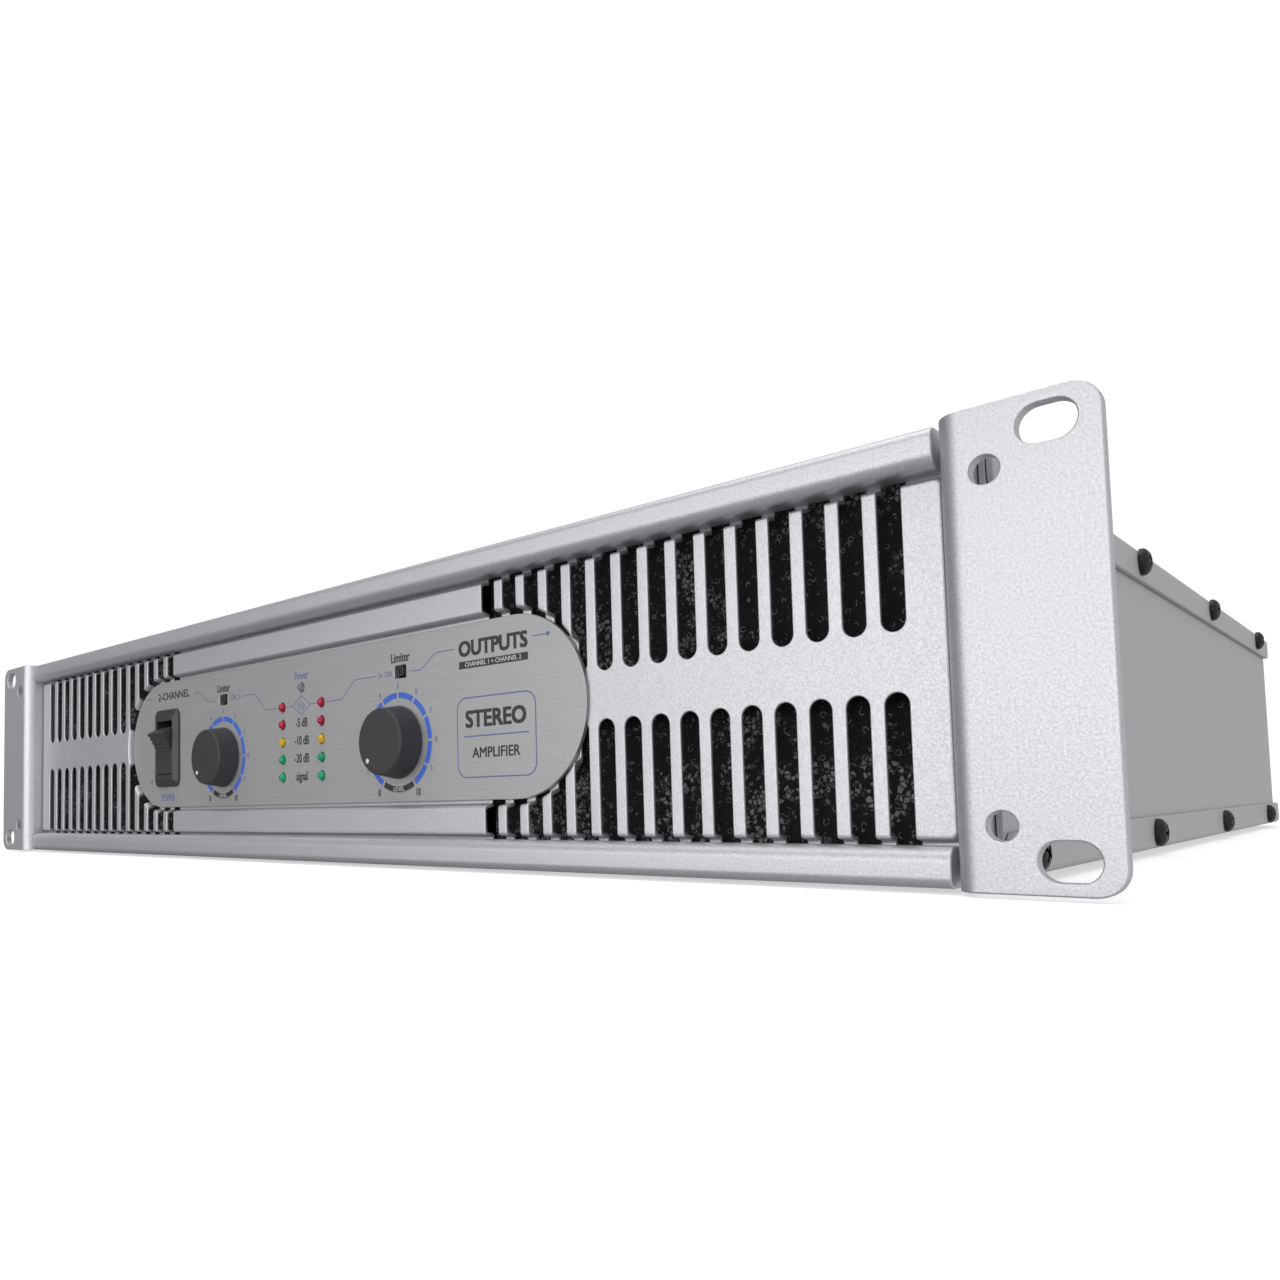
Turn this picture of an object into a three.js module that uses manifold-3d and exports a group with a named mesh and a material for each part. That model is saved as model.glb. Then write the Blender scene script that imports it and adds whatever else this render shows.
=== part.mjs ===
// Two-channel rack power amplifier, two rack units high.
// Millimetres, +Z up, +X to the right seen from the front, +Y from the front to the back.
// While it is built, y = 0 is the front face of the rack ears and z = 0 is their lower edge.
import * as THREE from 'three';
import { mergeVertices } from 'three/addons/utils/BufferGeometryUtils.js';
import Module from 'manifold-3d';

const wasm = await Module();
wasm.setup();

const GAP = 0.3;                  // air left between neighbouring pieces
const OVERCUT = 1;                // how far a cutting tool runs past the faces it cuts
const FLAT = 0.02;                // shortest straight side left between two rounded corners

// ---- Rack front ----
const RACK_WIDTH = 482.6;
const RACK_HEIGHT = 88;
const MID_Z = RACK_HEIGHT / 2;
const RACK_HOLE_X = 465.1 / 2;
const RACK_HOLE_Z = 76.2 / 2;
const RACK_SLOT_LENGTH = 10;
const RACK_SLOT_HEIGHT = 7.1;
const EAR_SHEET = 2.5;
const EAR_FLANGE_X = 213.2;       // face of the ear's flange that looks to the middle
const EAR_FLANGE_END = 40;
const EAR_FLANGE_FULL = 9;        // the flange is full height as far back as this
const EAR_BEND = 4.5;
const EAR_CORNER = 5;
const EAR_HOLE_X = 222;
const EAR_HOLE_Z = 32;            // above and below the middle
const EAR_HOLE_RADIUS = 2.65;

const RAIL_FRONT = 2.5;
const RAIL_HEIGHT = 7.8;
const RAIL_EDGE = 0.2;            // from the ears' edge to the rail's
const RAIL_HALF = 212;
const RAIL_OUTER_RADIUS = 2.2;
const RAIL_INNER_RADIUS = 3;

// ---- Grille panel: a base sheet with a field pressed forward ----
const PANEL_SHEET = 1.5;
const PANEL_FRONT = 10;
const PANEL_BACK = PANEL_FRONT + PANEL_SHEET;
const PANEL_HALF = 212.6;
const PANEL_BOTTOM = 2.8;
const PANEL_TOP = 85.2;
const FIELD_FRONT = 7.1;
const FIELD_HALF = 212;
const FIELD_HALF_HEIGHT = 34.7;
const FIELD_CORNER = 2;
const POCKET_MARGIN = 1.6;        // around the control plate
const SLOTS_PER_ROW = 15;
const SLOT_PITCH = 8.05;
const SLOT_FIRST_X = 88.7;
const SLOT_WIDTH = 5;
const SLOT_INNER = 6.05;          // rounded end, from the middle
const SLOT_OUTER = 38.5;          // square end, hidden by the rail

const FOAM_FRONT = 12;
const FOAM_THICK = 8;
const FOAM_INNER_X = 85;
const FOAM_OUTER_X = 206;
const FOAM_HALF_HEIGHT = 39;

// ---- Control plate ----
const PLATE_FRONT = 8.5;
const PLATE_BACK = PANEL_FRONT - GAP;
const PLATE_HALF = 122;
const PLATE_RADIUS = 25;
const PLATE_CENTRE_Z = 43.7;
const CONTROLS_X = -1.5;           // the middle between the two knobs, and of the lamps
const KNOB_X = 50;                 // each knob from there
const KNOB_Z = 36.7;
const KNOB_FRONT = 1;
const KNOB_BACK = PLATE_FRONT - GAP;
const KNOB_FRONT_RADIUS = 10;
const KNOB_BACK_RADIUS = 11;
const KNOB_EDGE = 0.5;
const SHAFT_RADIUS = 3;
const SHAFT_FRONT = 2.4;
const SHAFT_BACK = 15;
const BUSH_RADIUS = 4.2;
const POT_RADIUS = 8;
const POT_FRONT = 12.3;
const POT_BACK = 19.7;
const LED_RADIUS = 1.5;
const LED_TIP = 7.1;
const LED_BACK = 15;
const LED_COLUMN_X = 11.2;
const LED_FIRST_Z = 52;
const LED_PITCH = 6;
const LED_STRIP_FRONT = 13;       // each colour's lenses are joined by a strip behind the panel
const LED_WINDOW = { halfWidth: 16, bottom: 23, top: 61 };
const LIMITERS_X = -0.7;           // the middle between the two limiter switches
const LIMITER_X = 50.5;
const SWITCH_Z = 58;
const POWER_LED_Z = 58;
const SLIDER_TRAVEL = 2.2;
const SLIDER_WIDTH = 2.2;
const SLIDER_HEIGHT = 2.8;
const SLIDER_TIP = 7.6;
const SLIDER_BACK = 15.3;
const SLIDER_WINDOW = { halfWidth: 2.6, halfHeight: 1.9, depth: 4 };
const LIMITER_BODY = { halfWidth: 4.4, halfHeight: 3 };
const ROCKER_X = -92.7;
const ROCKER_Z = 42.2;
const ROCKER_PIVOT_Y = 13.8;
const ROCKER_REST_ANGLE = THREE.MathUtils.degToRad(14.5);
const ROCKER_HALF_WIDTH = 5.8;
const BEZEL = { halfWidth: 9.4, halfHeight: 15.4, radius: 3, front: 6.6, step: 7.5 };
const BEZEL_FACE = { halfWidth: 7.4, halfHeight: 14.3, radius: 2 };
const SWITCH_BODY = { halfWidth: 8.6, halfHeight: 13.4, back: 34 };
const ROCKER_WINDOW = { halfWidth: ROCKER_HALF_WIDTH + GAP, halfHeight: 10.6, back: 20 };
const FRONT_BOARD = { halfWidth: 72, bottom: 16, top: 70, front: 20, thick: 1.6 };

// ---- Case ----
const CASE_SHEET = 1.2;
const CASE_HALF = 218.7;
const CASE_BOTTOM = 1.1;
const CASE_TOP = 85.9;
const CASE_FRONT = 11.9;
const CASE_REAR = 394;
const FLANGE_HEIGHT = 9;
const FLANGE_FRONT = 16;
const CASE_BEND = 1.8;
const SIDE_OUTER = CASE_HALF - CASE_SHEET - GAP;
const SIDE_INNER = SIDE_OUTER - CASE_SHEET;
const SIDE_BOTTOM = CASE_BOTTOM + CASE_SHEET + GAP;
const SIDE_TOP = CASE_TOP - CASE_SHEET - GAP;
const SIDE_REAR = 390.5;
const SIDE_LIP = 14;
const SCREW_YS = [29.5, 139.5, 249.5, 359.5];
const SCREW_LOW_Z = 5.7;
const SCREW_HIGH_Z = 82;
const EAR_SCREW_ZS = [20, 68];
const SCREW_HOLE = 1.8;

// ---- Rear panel and what it carries ----
const REAR_FRONT = SIDE_REAR + GAP;
const REAR_BACK = REAR_FRONT + CASE_SHEET;
const REAR_HALF = 215;
const FAN_X = 165;
const FAN_Z = 43.5;
const FAN_SIZE = 60;
const FAN_DEPTH = 25;
const FAN_BACK = REAR_FRONT - GAP;
const FAN_FRONT = FAN_BACK - FAN_DEPTH;
const FAN_DUCT = 28.5;
const FAN_CORNER = 4;
const FAN_STRUT = 3;
const FAN_HOLE_OFFSET = 25;       // from the fan's axis, each way
const FAN_HOLE_RADIUS = 2.1;
const ROTOR_FRONT = FAN_FRONT + 6;
const ROTOR_BACK = FAN_BACK - 5;
const ROTOR_HUB = 14;
const ROTOR_TIP = 27.6;
const BLADES = 7;
const BLADE = { thick: 1.4, chord: 12.5, pitch: Math.PI / 4 };
const VENT_ROWS = 5;
const VENT_PITCH = 9;
const VENT_HEIGHT = 4.6;
const VENT_RADIUS = 26.5;
const VENT_RIB = 2.5;
const SOCKET = { halfWidth: 13, halfHeight: 15.5, radius: 2, flange: 2, hole: 12, depth: 20 };
const SOCKET_Z = 46;
const SPEAKER_XS = [-8, 36];
const SPEAKER_WELL = { inner: 6, outer: 9.8, depth: 14, centre: 3, centreDepth: 12 };
const INPUT_XS = [-86, -50];
const INPUT_WELL = { inner: 7.2, outer: 9, depth: 11 };
const CONTACT = { count: 3, circle: 3.6, radius: 1.1, depth: 9 };
const LATCH = { halfWidth: 3, height: 3.4, fromTop: 1.6, proud: 1.4, sunk: 0.7, slot: 4 };
const MAINS = { x: 92, z: 27, halfWidth: 24, halfHeight: 11, radius: 3, flange: 2.5 };
const MAINS_BODY = { halfWidth: 14, halfHeight: 10, depth: 22 };
const MAINS_WELL = { halfWidth: 12, halfHeight: 8, depth: 17 };
const MAINS_PIN = { halfWidth: 1, halfHeight: 2.2, tip: 6, places: [[-7, -2], [7, -2], [0, 2.5]] };
const BREAKER = { x: 92, z: 62, collar: 8, proud: 4, body: 6, depth: 28 };
const BREAKER_BUTTON = { radius: 3.4, proud: 6, back: 2, bore: 6 };
const MODE_SWITCH = { x: -68, z: 15, halfWidth: 11, halfHeight: 4.5, depth: 12 };
const MODE_SLOT = { halfWidth: 7.4, halfHeight: 2.6, depth: 5 };
const MODE_SLIDER = { halfWidth: 2.4, halfHeight: 2, front: 4, proud: 2.2 };
const REARMOST = REAR_BACK + BREAKER_BUTTON.proud;

// ---- Inside ----
const TOROID = { x: 0, y: 125, bottom: 6.5, height: 58, outer: 66, hole: 20, edge: 8 };
const PAD = { outer: 60, inner: 6, bottom: 2.9 };
const CLAMP = { outer: 34, inner: 4.5, bottom: 64.8, thick: 2.5 };
const BOLT = { radius: 4, bottom: 2.9, headRadius: 7, headHeight: 5 };
const HEATSINK = { inner: 132, base: 5, outer: 197, bottom: 13, top: 74, front: 160, back: 358 };
const FINS = 9;
const FIN_THICK = 1.8;
const TRANSISTORS = 6;
const TRANSISTOR = { halfWidth: 8, thick: 5, bottom: 26, top: 47 };
const CLAMP_BAR = { thick: 3, bottom: 33, top: 39, sunk: 0.5 };
const AMP_BOARD = { inner: 72, outer: 124, front: 165, back: 345 };
const SUPPLY_BOARD = { half: 60, front: 205, back: 330 };
const BOARD_SPAN = [12, 13.6];
const CAPACITOR = { radius: 17.5, bottom: 13.9, top: 63.9, edge: 2 };
const CAPACITOR_PLACES = [[-21, 238], [21, 238], [-21, 288], [21, 288]];

// ---------------------------------------------------------------- materials
const paint = (color, roughness, metalness) => () =>
  new THREE.MeshStandardMaterial({ color, roughness, metalness });

const SILVER_PAINT = paint(0xd4d3d8, 0.45, 0.6);
const GREY_PAINT = paint(0x8f8f93, 0.5, 0.4);
const BRUSHED_ALUMINIUM = paint(0xb4b4b6, 0.35, 0.9);
const BARE_ALUMINIUM = paint(0xb9bcc0, 0.4, 0.9);
const STEEL = paint(0xa8aaad, 0.4, 0.9);
const BLACK_PLASTIC = paint(0x222225, 0.5, 0);
const DARK_GREY_PLASTIC = paint(0x3a3a3e, 0.6, 0);
const FOAM = paint(0x17171a, 1, 0);
const BOARD_GREEN = paint(0x1d5a35, 0.5, 0);
const RED_LENS = paint(0xb0122a, 0.2, 0);
const YELLOW_LENS = paint(0xd9a400, 0.2, 0);
const GREEN_LENS = paint(0x0f9a55, 0.2, 0);
const CLEAR_LENS = paint(0xd8dadc, 0.1, 0);
const TAPE = paint(0xd7b64a, 0.5, 0);
const RUBBER = paint(0x1b1b1b, 0.9, 0);
const SLEEVE_BLUE = paint(0x20345c, 0.4, 0);

// ---------------------------------------------------------------- solids
function solid(geometry) {
  const bare = geometry.clone();
  bare.deleteAttribute('normal');
  bare.deleteAttribute('uv');
  const merged = mergeVertices(bare, 1e-4);
  const vertProperties = new Float32Array(merged.attributes.position.array);
  const triVerts = new Uint32Array(merged.index.array);
  return new wasm.Manifold(new wasm.Mesh({ numProp: 3, vertProperties, triVerts }));
}

function geometryOf(manifold) {
  const mesh = manifold.getMesh();
  const geometry = new THREE.BufferGeometry();
  geometry.setAttribute('position', new THREE.BufferAttribute(mesh.vertProperties, mesh.numProp));
  geometry.setIndex(new THREE.BufferAttribute(mesh.triVerts, 1));
  geometry.computeVertexNormals();
  return geometry;
}

const join = (solids) => solids.reduce((whole, next) => whole.add(next));
const cut = (body, tools) => tools.reduce((rest, tool) => rest.subtract(tool), body);

function box([x0, x1], [y0, y1], [z0, z1]) {
  const geometry = new THREE.BoxGeometry(x1 - x0, y1 - y0, z1 - z0);
  return solid(geometry.translate((x0 + x1) / 2, (y0 + y1) / 2, (z0 + z1) / 2));
}

// An outline's own x and y become the two axes named by the function, and it is pushed along the third.
function extrude(shape, low, high, xAxis, yAxis, zAxis, curveSegments = 4) {
  const geometry = new THREE.ExtrudeGeometry(shape, { depth: high - low, bevelEnabled: false, curveSegments });
  geometry.translate(0, 0, low);
  return solid(geometry.applyMatrix4(new THREE.Matrix4().makeBasis(xAxis, yAxis, zAxis)));
}

const X = new THREE.Vector3(1, 0, 0);
const Y = new THREE.Vector3(0, 1, 0);
const Z = new THREE.Vector3(0, 0, 1);
const MINUS_Y = new THREE.Vector3(0, -1, 0);
const alongX = (yzShape, x0, x1, segments) => extrude(yzShape, x0, x1, Y, Z, X, segments);
const alongY = (xzShape, y0, y1, segments) => extrude(xzShape, -y1, -y0, X, Z, MINUS_Y, segments);
const alongZ = (xyShape, z0, z1, segments) => extrude(xyShape, z0, z1, X, Y, Z, segments);

function roundedRectangle(x, y, halfWidth, halfHeight, corner) {
  const radius = Math.min(corner, halfWidth - FLAT, halfHeight - FLAT);
  const shape = new THREE.Shape();
  shape.absarc(x + halfWidth - radius, y + halfHeight - radius, radius, 0, Math.PI / 2);
  shape.absarc(x - halfWidth + radius, y + halfHeight - radius, radius, Math.PI / 2, Math.PI);
  shape.absarc(x - halfWidth + radius, y - halfHeight + radius, radius, Math.PI, 1.5 * Math.PI);
  shape.absarc(x + halfWidth - radius, y - halfHeight + radius, radius, 1.5 * Math.PI, 2 * Math.PI);
  return shape;
}

function polygon(points) {
  return new THREE.Shape(points.map(([x, y]) => new THREE.Vector2(x, y)));
}

function cylinderX(y, z, radius, [x0, x1], segments = 8) {
  const geometry = new THREE.CylinderGeometry(radius, radius, x1 - x0, segments);
  return solid(geometry.rotateZ(Math.PI / 2).translate((x0 + x1) / 2, y, z));
}

function cylinderY(x, z, radius, [y0, y1], segments = 16) {
  const geometry = new THREE.CylinderGeometry(radius, radius, y1 - y0, segments);
  return solid(geometry.translate(x, (y0 + y1) / 2, z));
}

function cylinderZ(x, y, radius, [z0, z1], segments = 16) {
  const geometry = new THREE.CylinderGeometry(radius, radius, z1 - z0, segments);
  return solid(geometry.rotateX(Math.PI / 2).translate(x, y, (z0 + z1) / 2));
}

// Profile points are [radius, distance along the axis].
function latheY(profile, segments) {
  return new THREE.LatheGeometry(profile.map(([r, y]) => new THREE.Vector2(r, y)), segments);
}

function latheZ(profile, segments) {
  return latheY(profile, segments).rotateX(Math.PI / 2);
}

const moved = (geometry, x, y, z) => solid(geometry.clone().translate(x, y, z));

function dome(radius, height, base, steps) {
  return Array.from({ length: steps + 1 }, (_, i) => {
    const angle = (i / steps) * (Math.PI / 2);
    return [radius * Math.sin(angle), base - height * Math.cos(angle)];
  });
}

// ---------------------------------------------------------------- the assembly
const amplifier = new THREE.Group();

function add(name, manifold, material) {
  const mesh = new THREE.Mesh(geometryOf(manifold), material());
  mesh.name = name;
  amplifier.add(mesh);
}

const SIDES = [['left', -1], ['right', 1]];
const CHANNELS = [['1', -1], ['2', 1]];
const span = (side, near, far) => (side > 0 ? [near, far] : [-far, -near]);

// ---------------------------------------------------------------- rack ears and rails
function earSection(side) {
  const shape = new THREE.Shape();
  const inside = EAR_FLANGE_X + EAR_SHEET;
  const centre = EAR_FLANGE_X + EAR_BEND;
  shape.moveTo(RACK_WIDTH / 2, 0);
  shape.lineTo(RACK_WIDTH / 2, EAR_SHEET);
  shape.absarc(centre, EAR_BEND, EAR_BEND - EAR_SHEET, 1.5 * Math.PI, Math.PI, true);
  shape.lineTo(inside, EAR_FLANGE_END);
  shape.lineTo(EAR_FLANGE_X, EAR_FLANGE_END);
  shape.absarc(centre, EAR_BEND, EAR_BEND, Math.PI, 1.5 * Math.PI);
  const points = shape.getPoints(4).map((point) => new THREE.Vector2(point.x * side, point.y));
  return new THREE.Shape(points);
}

function earFace(side) {
  const overhang = RACK_HEIGHT;
  const halfWidth = (RACK_WIDTH / 2 - EAR_FLANGE_X + overhang) / 2;
  const centreX = side * (RACK_WIDTH / 2 - halfWidth);
  return roundedRectangle(centreX, MID_Z, halfWidth, MID_Z, EAR_CORNER);
}

function rackEar(side) {
  const bracket = alongZ(earSection(side), 0, RACK_HEIGHT);
  const rounded = bracket.intersect(alongY(earFace(side), -OVERCUT, EAR_FLANGE_END + OVERCUT, 5));
  const through = [-OVERCUT, EAR_SHEET + OVERCUT];
  const flangeSpan = span(side, EAR_FLANGE_X - OVERCUT, EAR_FLANGE_X + EAR_SHEET + OVERCUT);
  const behind = [EAR_FLANGE_FULL, EAR_FLANGE_END + OVERCUT];
  const tools = [
    box(flangeSpan, behind, [-OVERCUT, SIDE_BOTTOM + GAP]),
    box(flangeSpan, behind, [SIDE_TOP - GAP, RACK_HEIGHT + OVERCUT]),
  ];
  for (const end of [-1, 1]) {
    const radius = RACK_SLOT_HEIGHT / 2;
    const z = MID_Z + end * RACK_HOLE_Z;
    const slot = roundedRectangle(side * RACK_HOLE_X, z, RACK_SLOT_LENGTH / 2, radius, radius);
    tools.push(alongY(slot, ...through, 4));
    tools.push(cylinderY(side * EAR_HOLE_X, MID_Z + end * EAR_HOLE_Z, EAR_HOLE_RADIUS, through, 12));
  }
  for (const z of EAR_SCREW_ZS) {
    tools.push(cylinderX(SCREW_YS[0], z, SCREW_HOLE, flangeSpan));
  }
  return cut(rounded, tools);
}

// The rail's section, with z measured from the rack's outer edge towards the recess.
function railSection(end) {
  const inner = RAIL_EDGE + RAIL_HEIGHT;
  const shape = new THREE.Shape();
  shape.moveTo(PANEL_FRONT - GAP, RAIL_EDGE);
  shape.lineTo(PANEL_FRONT - GAP, inner);
  shape.absarc(
    RAIL_FRONT + RAIL_INNER_RADIUS, inner - RAIL_INNER_RADIUS, RAIL_INNER_RADIUS, Math.PI / 2, Math.PI);
  shape.absarc(
    RAIL_FRONT + RAIL_OUTER_RADIUS, RAIL_EDGE + RAIL_OUTER_RADIUS, RAIL_OUTER_RADIUS, Math.PI, 1.5 * Math.PI);
  const points = shape.getPoints(5);
  return new THREE.Shape(points.map((point) => new THREE.Vector2(point.x, MID_Z + end * (MID_Z - point.y))));
}

for (const [name, side] of SIDES) {
  add(`${name}_rack_ear`, rackEar(side), SILVER_PAINT);
}
add('top_rail', alongX(railSection(1), -RAIL_HALF, RAIL_HALF), SILVER_PAINT);
add('bottom_rail', alongX(railSection(-1), -RAIL_HALF, RAIL_HALF), SILVER_PAINT);

// ---------------------------------------------------------------- grille panel and foam
function pill(margin) {
  const radius = PLATE_RADIUS + margin;
  return roundedRectangle(0, PLATE_CENTRE_Z, PLATE_HALF + margin, radius, radius);
}

function field(inset) {
  return roundedRectangle(0, MID_Z, FIELD_HALF - inset, FIELD_HALF_HEIGHT - inset, FIELD_CORNER);
}

function ventSlot(centreX, end) {
  const radius = SLOT_WIDTH / 2;
  const shape = new THREE.Shape();
  shape.moveTo(centreX + radius, MID_Z + end * SLOT_OUTER);
  const turn = end > 0;
  shape.lineTo(centreX - radius, MID_Z + end * SLOT_OUTER);
  shape.absarc(centreX, MID_Z + end * (SLOT_INNER + radius), radius, Math.PI, turn ? 2 * Math.PI : 0, !turn);
  return alongY(shape, FIELD_FRONT - OVERCUT, PANEL_BACK + OVERCUT, 4);
}

function ventSlots() {
  const slots = [];
  for (let i = 0; i < SLOTS_PER_ROW; i += 1) {
    for (const side of [-1, 1]) {
      for (const end of [-1, 1]) {
        slots.push(ventSlot(side * (SLOT_FIRST_X + i * SLOT_PITCH), end));
      }
    }
  }
  return slots;
}

function rockerCutout(y0, y1) {
  const x = [ROCKER_X - SWITCH_BODY.halfWidth - GAP, ROCKER_X + SWITCH_BODY.halfWidth + GAP];
  const z = [ROCKER_Z - SWITCH_BODY.halfHeight - GAP, ROCKER_Z + SWITCH_BODY.halfHeight + GAP];
  return box(x, [y0, y1], z);
}

function grillePanel() {
  const sheet = box([-PANEL_HALF, PANEL_HALF], [PANEL_FRONT, PANEL_BACK], [PANEL_BOTTOM, PANEL_TOP]);
  const pressed = alongY(field(0), FIELD_FRONT, PANEL_BACK, 3).subtract(
    alongY(pill(POCKET_MARGIN), FIELD_FRONT - OVERCUT, PANEL_FRONT, 8));
  const hollow = alongY(field(PANEL_SHEET), FIELD_FRONT + PANEL_SHEET, PANEL_BACK + OVERCUT, 3).subtract(
    alongY(pill(POCKET_MARGIN + PANEL_SHEET), FIELD_FRONT, PANEL_BACK + OVERCUT, 8));
  const through = [PANEL_FRONT - OVERCUT, PANEL_BACK + OVERCUT];
  const tools = [
    hollow,
    rockerCutout(...through),
    box([-LED_WINDOW.halfWidth, LED_WINDOW.halfWidth], through, [LED_WINDOW.bottom, LED_WINDOW.top]),
    ...ventSlots(),
  ];
  for (const [, side] of CHANNELS) {
    tools.push(cylinderY(knobX(side), KNOB_Z, BUSH_RADIUS + GAP, through, 12));
    tools.push(limiterBlock(side, SLIDER_WINDOW, through));
  }
  return cut(sheet.add(pressed), tools);
}

function knobX(side) {
  return CONTROLS_X + side * KNOB_X;
}

function limiterBlock(side, { halfWidth, halfHeight }, y) {
  const x = LIMITERS_X + side * LIMITER_X;
  return box([x - halfWidth, x + halfWidth], y, [SWITCH_Z - halfHeight, SWITCH_Z + halfHeight]);
}

// The power switch's body passes through the left filter.
function switchNotch() {
  const { halfWidth, halfHeight } = SWITCH_BODY;
  return box(
    [ROCKER_X - halfWidth - OVERCUT, -FOAM_INNER_X + OVERCUT],
    [FOAM_FRONT - OVERCUT, FOAM_FRONT + FOAM_THICK + OVERCUT],
    [ROCKER_Z - halfHeight - OVERCUT, ROCKER_Z + halfHeight + OVERCUT]);
}

add('front_grille_panel', grillePanel(), SILVER_PAINT);
for (const [name, side] of SIDES) {
  const pad = box(
    span(side, FOAM_INNER_X, FOAM_OUTER_X),
    [FOAM_FRONT, FOAM_FRONT + FOAM_THICK],
    [MID_Z - FOAM_HALF_HEIGHT, MID_Z + FOAM_HALF_HEIGHT]);
  add(`${name}_foam_filter`, side < 0 ? pad.subtract(switchNotch()) : pad, FOAM);
}

// ---------------------------------------------------------------- control plate
const LED_PLACES = [];
for (let i = 0; i < 5; i += 1) {
  for (const [, side] of CHANNELS) {
    LED_PLACES.push({ x: CONTROLS_X + side * LED_COLUMN_X, z: LED_FIRST_Z - i * LED_PITCH, row: i });
  }
}

function controlPlate() {
  const through = [PLATE_FRONT - OVERCUT, PLATE_BACK + OVERCUT];
  const tools = [rockerCutout(...through)];
  for (const { x, z } of [...LED_PLACES, { x: CONTROLS_X, z: POWER_LED_Z }]) {
    tools.push(cylinderY(x, z, LED_RADIUS + GAP, through, 8));
  }
  for (const [, side] of CHANNELS) {
    tools.push(cylinderY(knobX(side), KNOB_Z, BUSH_RADIUS + GAP, through, 12));
    tools.push(limiterBlock(side, SLIDER_WINDOW, through));
  }
  return cut(alongY(pill(0), PLATE_FRONT, PLATE_BACK, 10), tools);
}

function led(x, z) {
  const tip = dome(LED_RADIUS, LED_RADIUS, LED_TIP + LED_RADIUS, 2);
  const profile = [...tip, [LED_RADIUS, LED_BACK], [0, LED_BACK]];
  return moved(latheY(profile, 8), x, 0, z);
}

function joinedLeds(firstRow, lastRow) {
  const lenses = LED_PLACES.filter(({ row }) => row >= firstRow && row <= lastRow).map(({ x, z }) => led(x, z));
  const halfWidth = LED_COLUMN_X + LED_RADIUS;
  const z = [LED_FIRST_Z - lastRow * LED_PITCH - LED_RADIUS, LED_FIRST_Z - firstRow * LED_PITCH + LED_RADIUS];
  const x = [CONTROLS_X - halfWidth, CONTROLS_X + halfWidth];
  return join([box(x, [LED_STRIP_FRONT, LED_BACK], z), ...lenses]);
}

function knob(side) {
  const profile = [
    [0, KNOB_FRONT],
    [KNOB_FRONT_RADIUS - KNOB_EDGE, KNOB_FRONT],
    [KNOB_FRONT_RADIUS, KNOB_FRONT + KNOB_EDGE],
    [KNOB_BACK_RADIUS, KNOB_BACK],
    [0, KNOB_BACK],
  ];
  const x = knobX(side);
  const bore = cylinderY(x, KNOB_Z, SHAFT_RADIUS + GAP, [SHAFT_FRONT - GAP, KNOB_BACK + OVERCUT], 12);
  return moved(latheY(profile, 32), x, 0, KNOB_Z).subtract(bore);
}

function potentiometer(side) {
  const x = knobX(side);
  const body = cylinderY(x, KNOB_Z, POT_RADIUS, [POT_FRONT, POT_BACK], 16);
  const bush = cylinderY(x, KNOB_Z, BUSH_RADIUS, [PLATE_FRONT, POT_FRONT + OVERCUT], 12);
  const bore = cylinderY(x, KNOB_Z, SHAFT_RADIUS + GAP, [PLATE_FRONT - OVERCUT, SHAFT_BACK + GAP], 12);
  return body.add(bush).subtract(bore);
}

function limiterSwitchBody(side) {
  const windowSpan = [POT_FRONT - OVERCUT, POT_FRONT + SLIDER_WINDOW.depth];
  return limiterBlock(side, LIMITER_BODY, [POT_FRONT, POT_BACK])
    .subtract(limiterBlock(side, SLIDER_WINDOW, windowSpan));
}

function limiterSlider(side) {
  const x = LIMITERS_X + side * LIMITER_X + SLIDER_TRAVEL / 2;
  const z = [SWITCH_Z - SLIDER_HEIGHT / 2, SWITCH_Z + SLIDER_HEIGHT / 2];
  return box([x - SLIDER_WIDTH / 2, x + SLIDER_WIDTH / 2], [SLIDER_TIP, SLIDER_BACK], z);
}

function powerSwitchHousing() {
  const { front, step } = BEZEL;
  const outline = ({ halfWidth, halfHeight, radius }) =>
    roundedRectangle(ROCKER_X, ROCKER_Z, halfWidth, halfHeight, radius);
  const parts = [
    alongY(outline(BEZEL), step, PLATE_FRONT - GAP, 3),
    alongY(outline(BEZEL_FACE), front, PLATE_FRONT - GAP, 3),
    blockAt(SWITCH_BODY, [step, SWITCH_BODY.back]),
  ];
  return join(parts).subtract(blockAt(ROCKER_WINDOW, [front - OVERCUT, ROCKER_WINDOW.back]));
}

function blockAt({ halfWidth, halfHeight }, y) {
  return box([ROCKER_X - halfWidth, ROCKER_X + halfWidth], y, [ROCKER_Z - halfHeight, ROCKER_Z + halfHeight]);
}

// Side view of the rocker halfway between its two positions, as [y, z] from the pivot: a shallow V.
const ROCKER_OUTLINE = [
  [-7.2, 0], [-9.5, 8], [-4.5, 9.3], [0, 8], [3.5, 3],
  [3.5, -3], [0, -8], [-4.5, -9.3], [-9.5, -8],
];

function rocker() {
  const origin = new THREE.Vector2();
  const points = ROCKER_OUTLINE.map(([y, z]) => {
    const turned = new THREE.Vector2(y, z).rotateAround(origin, ROCKER_REST_ANGLE);
    return [turned.x + ROCKER_PIVOT_Y, turned.y + ROCKER_Z];
  });
  return alongX(polygon(points), ROCKER_X - ROCKER_HALF_WIDTH, ROCKER_X + ROCKER_HALF_WIDTH);
}

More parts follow.
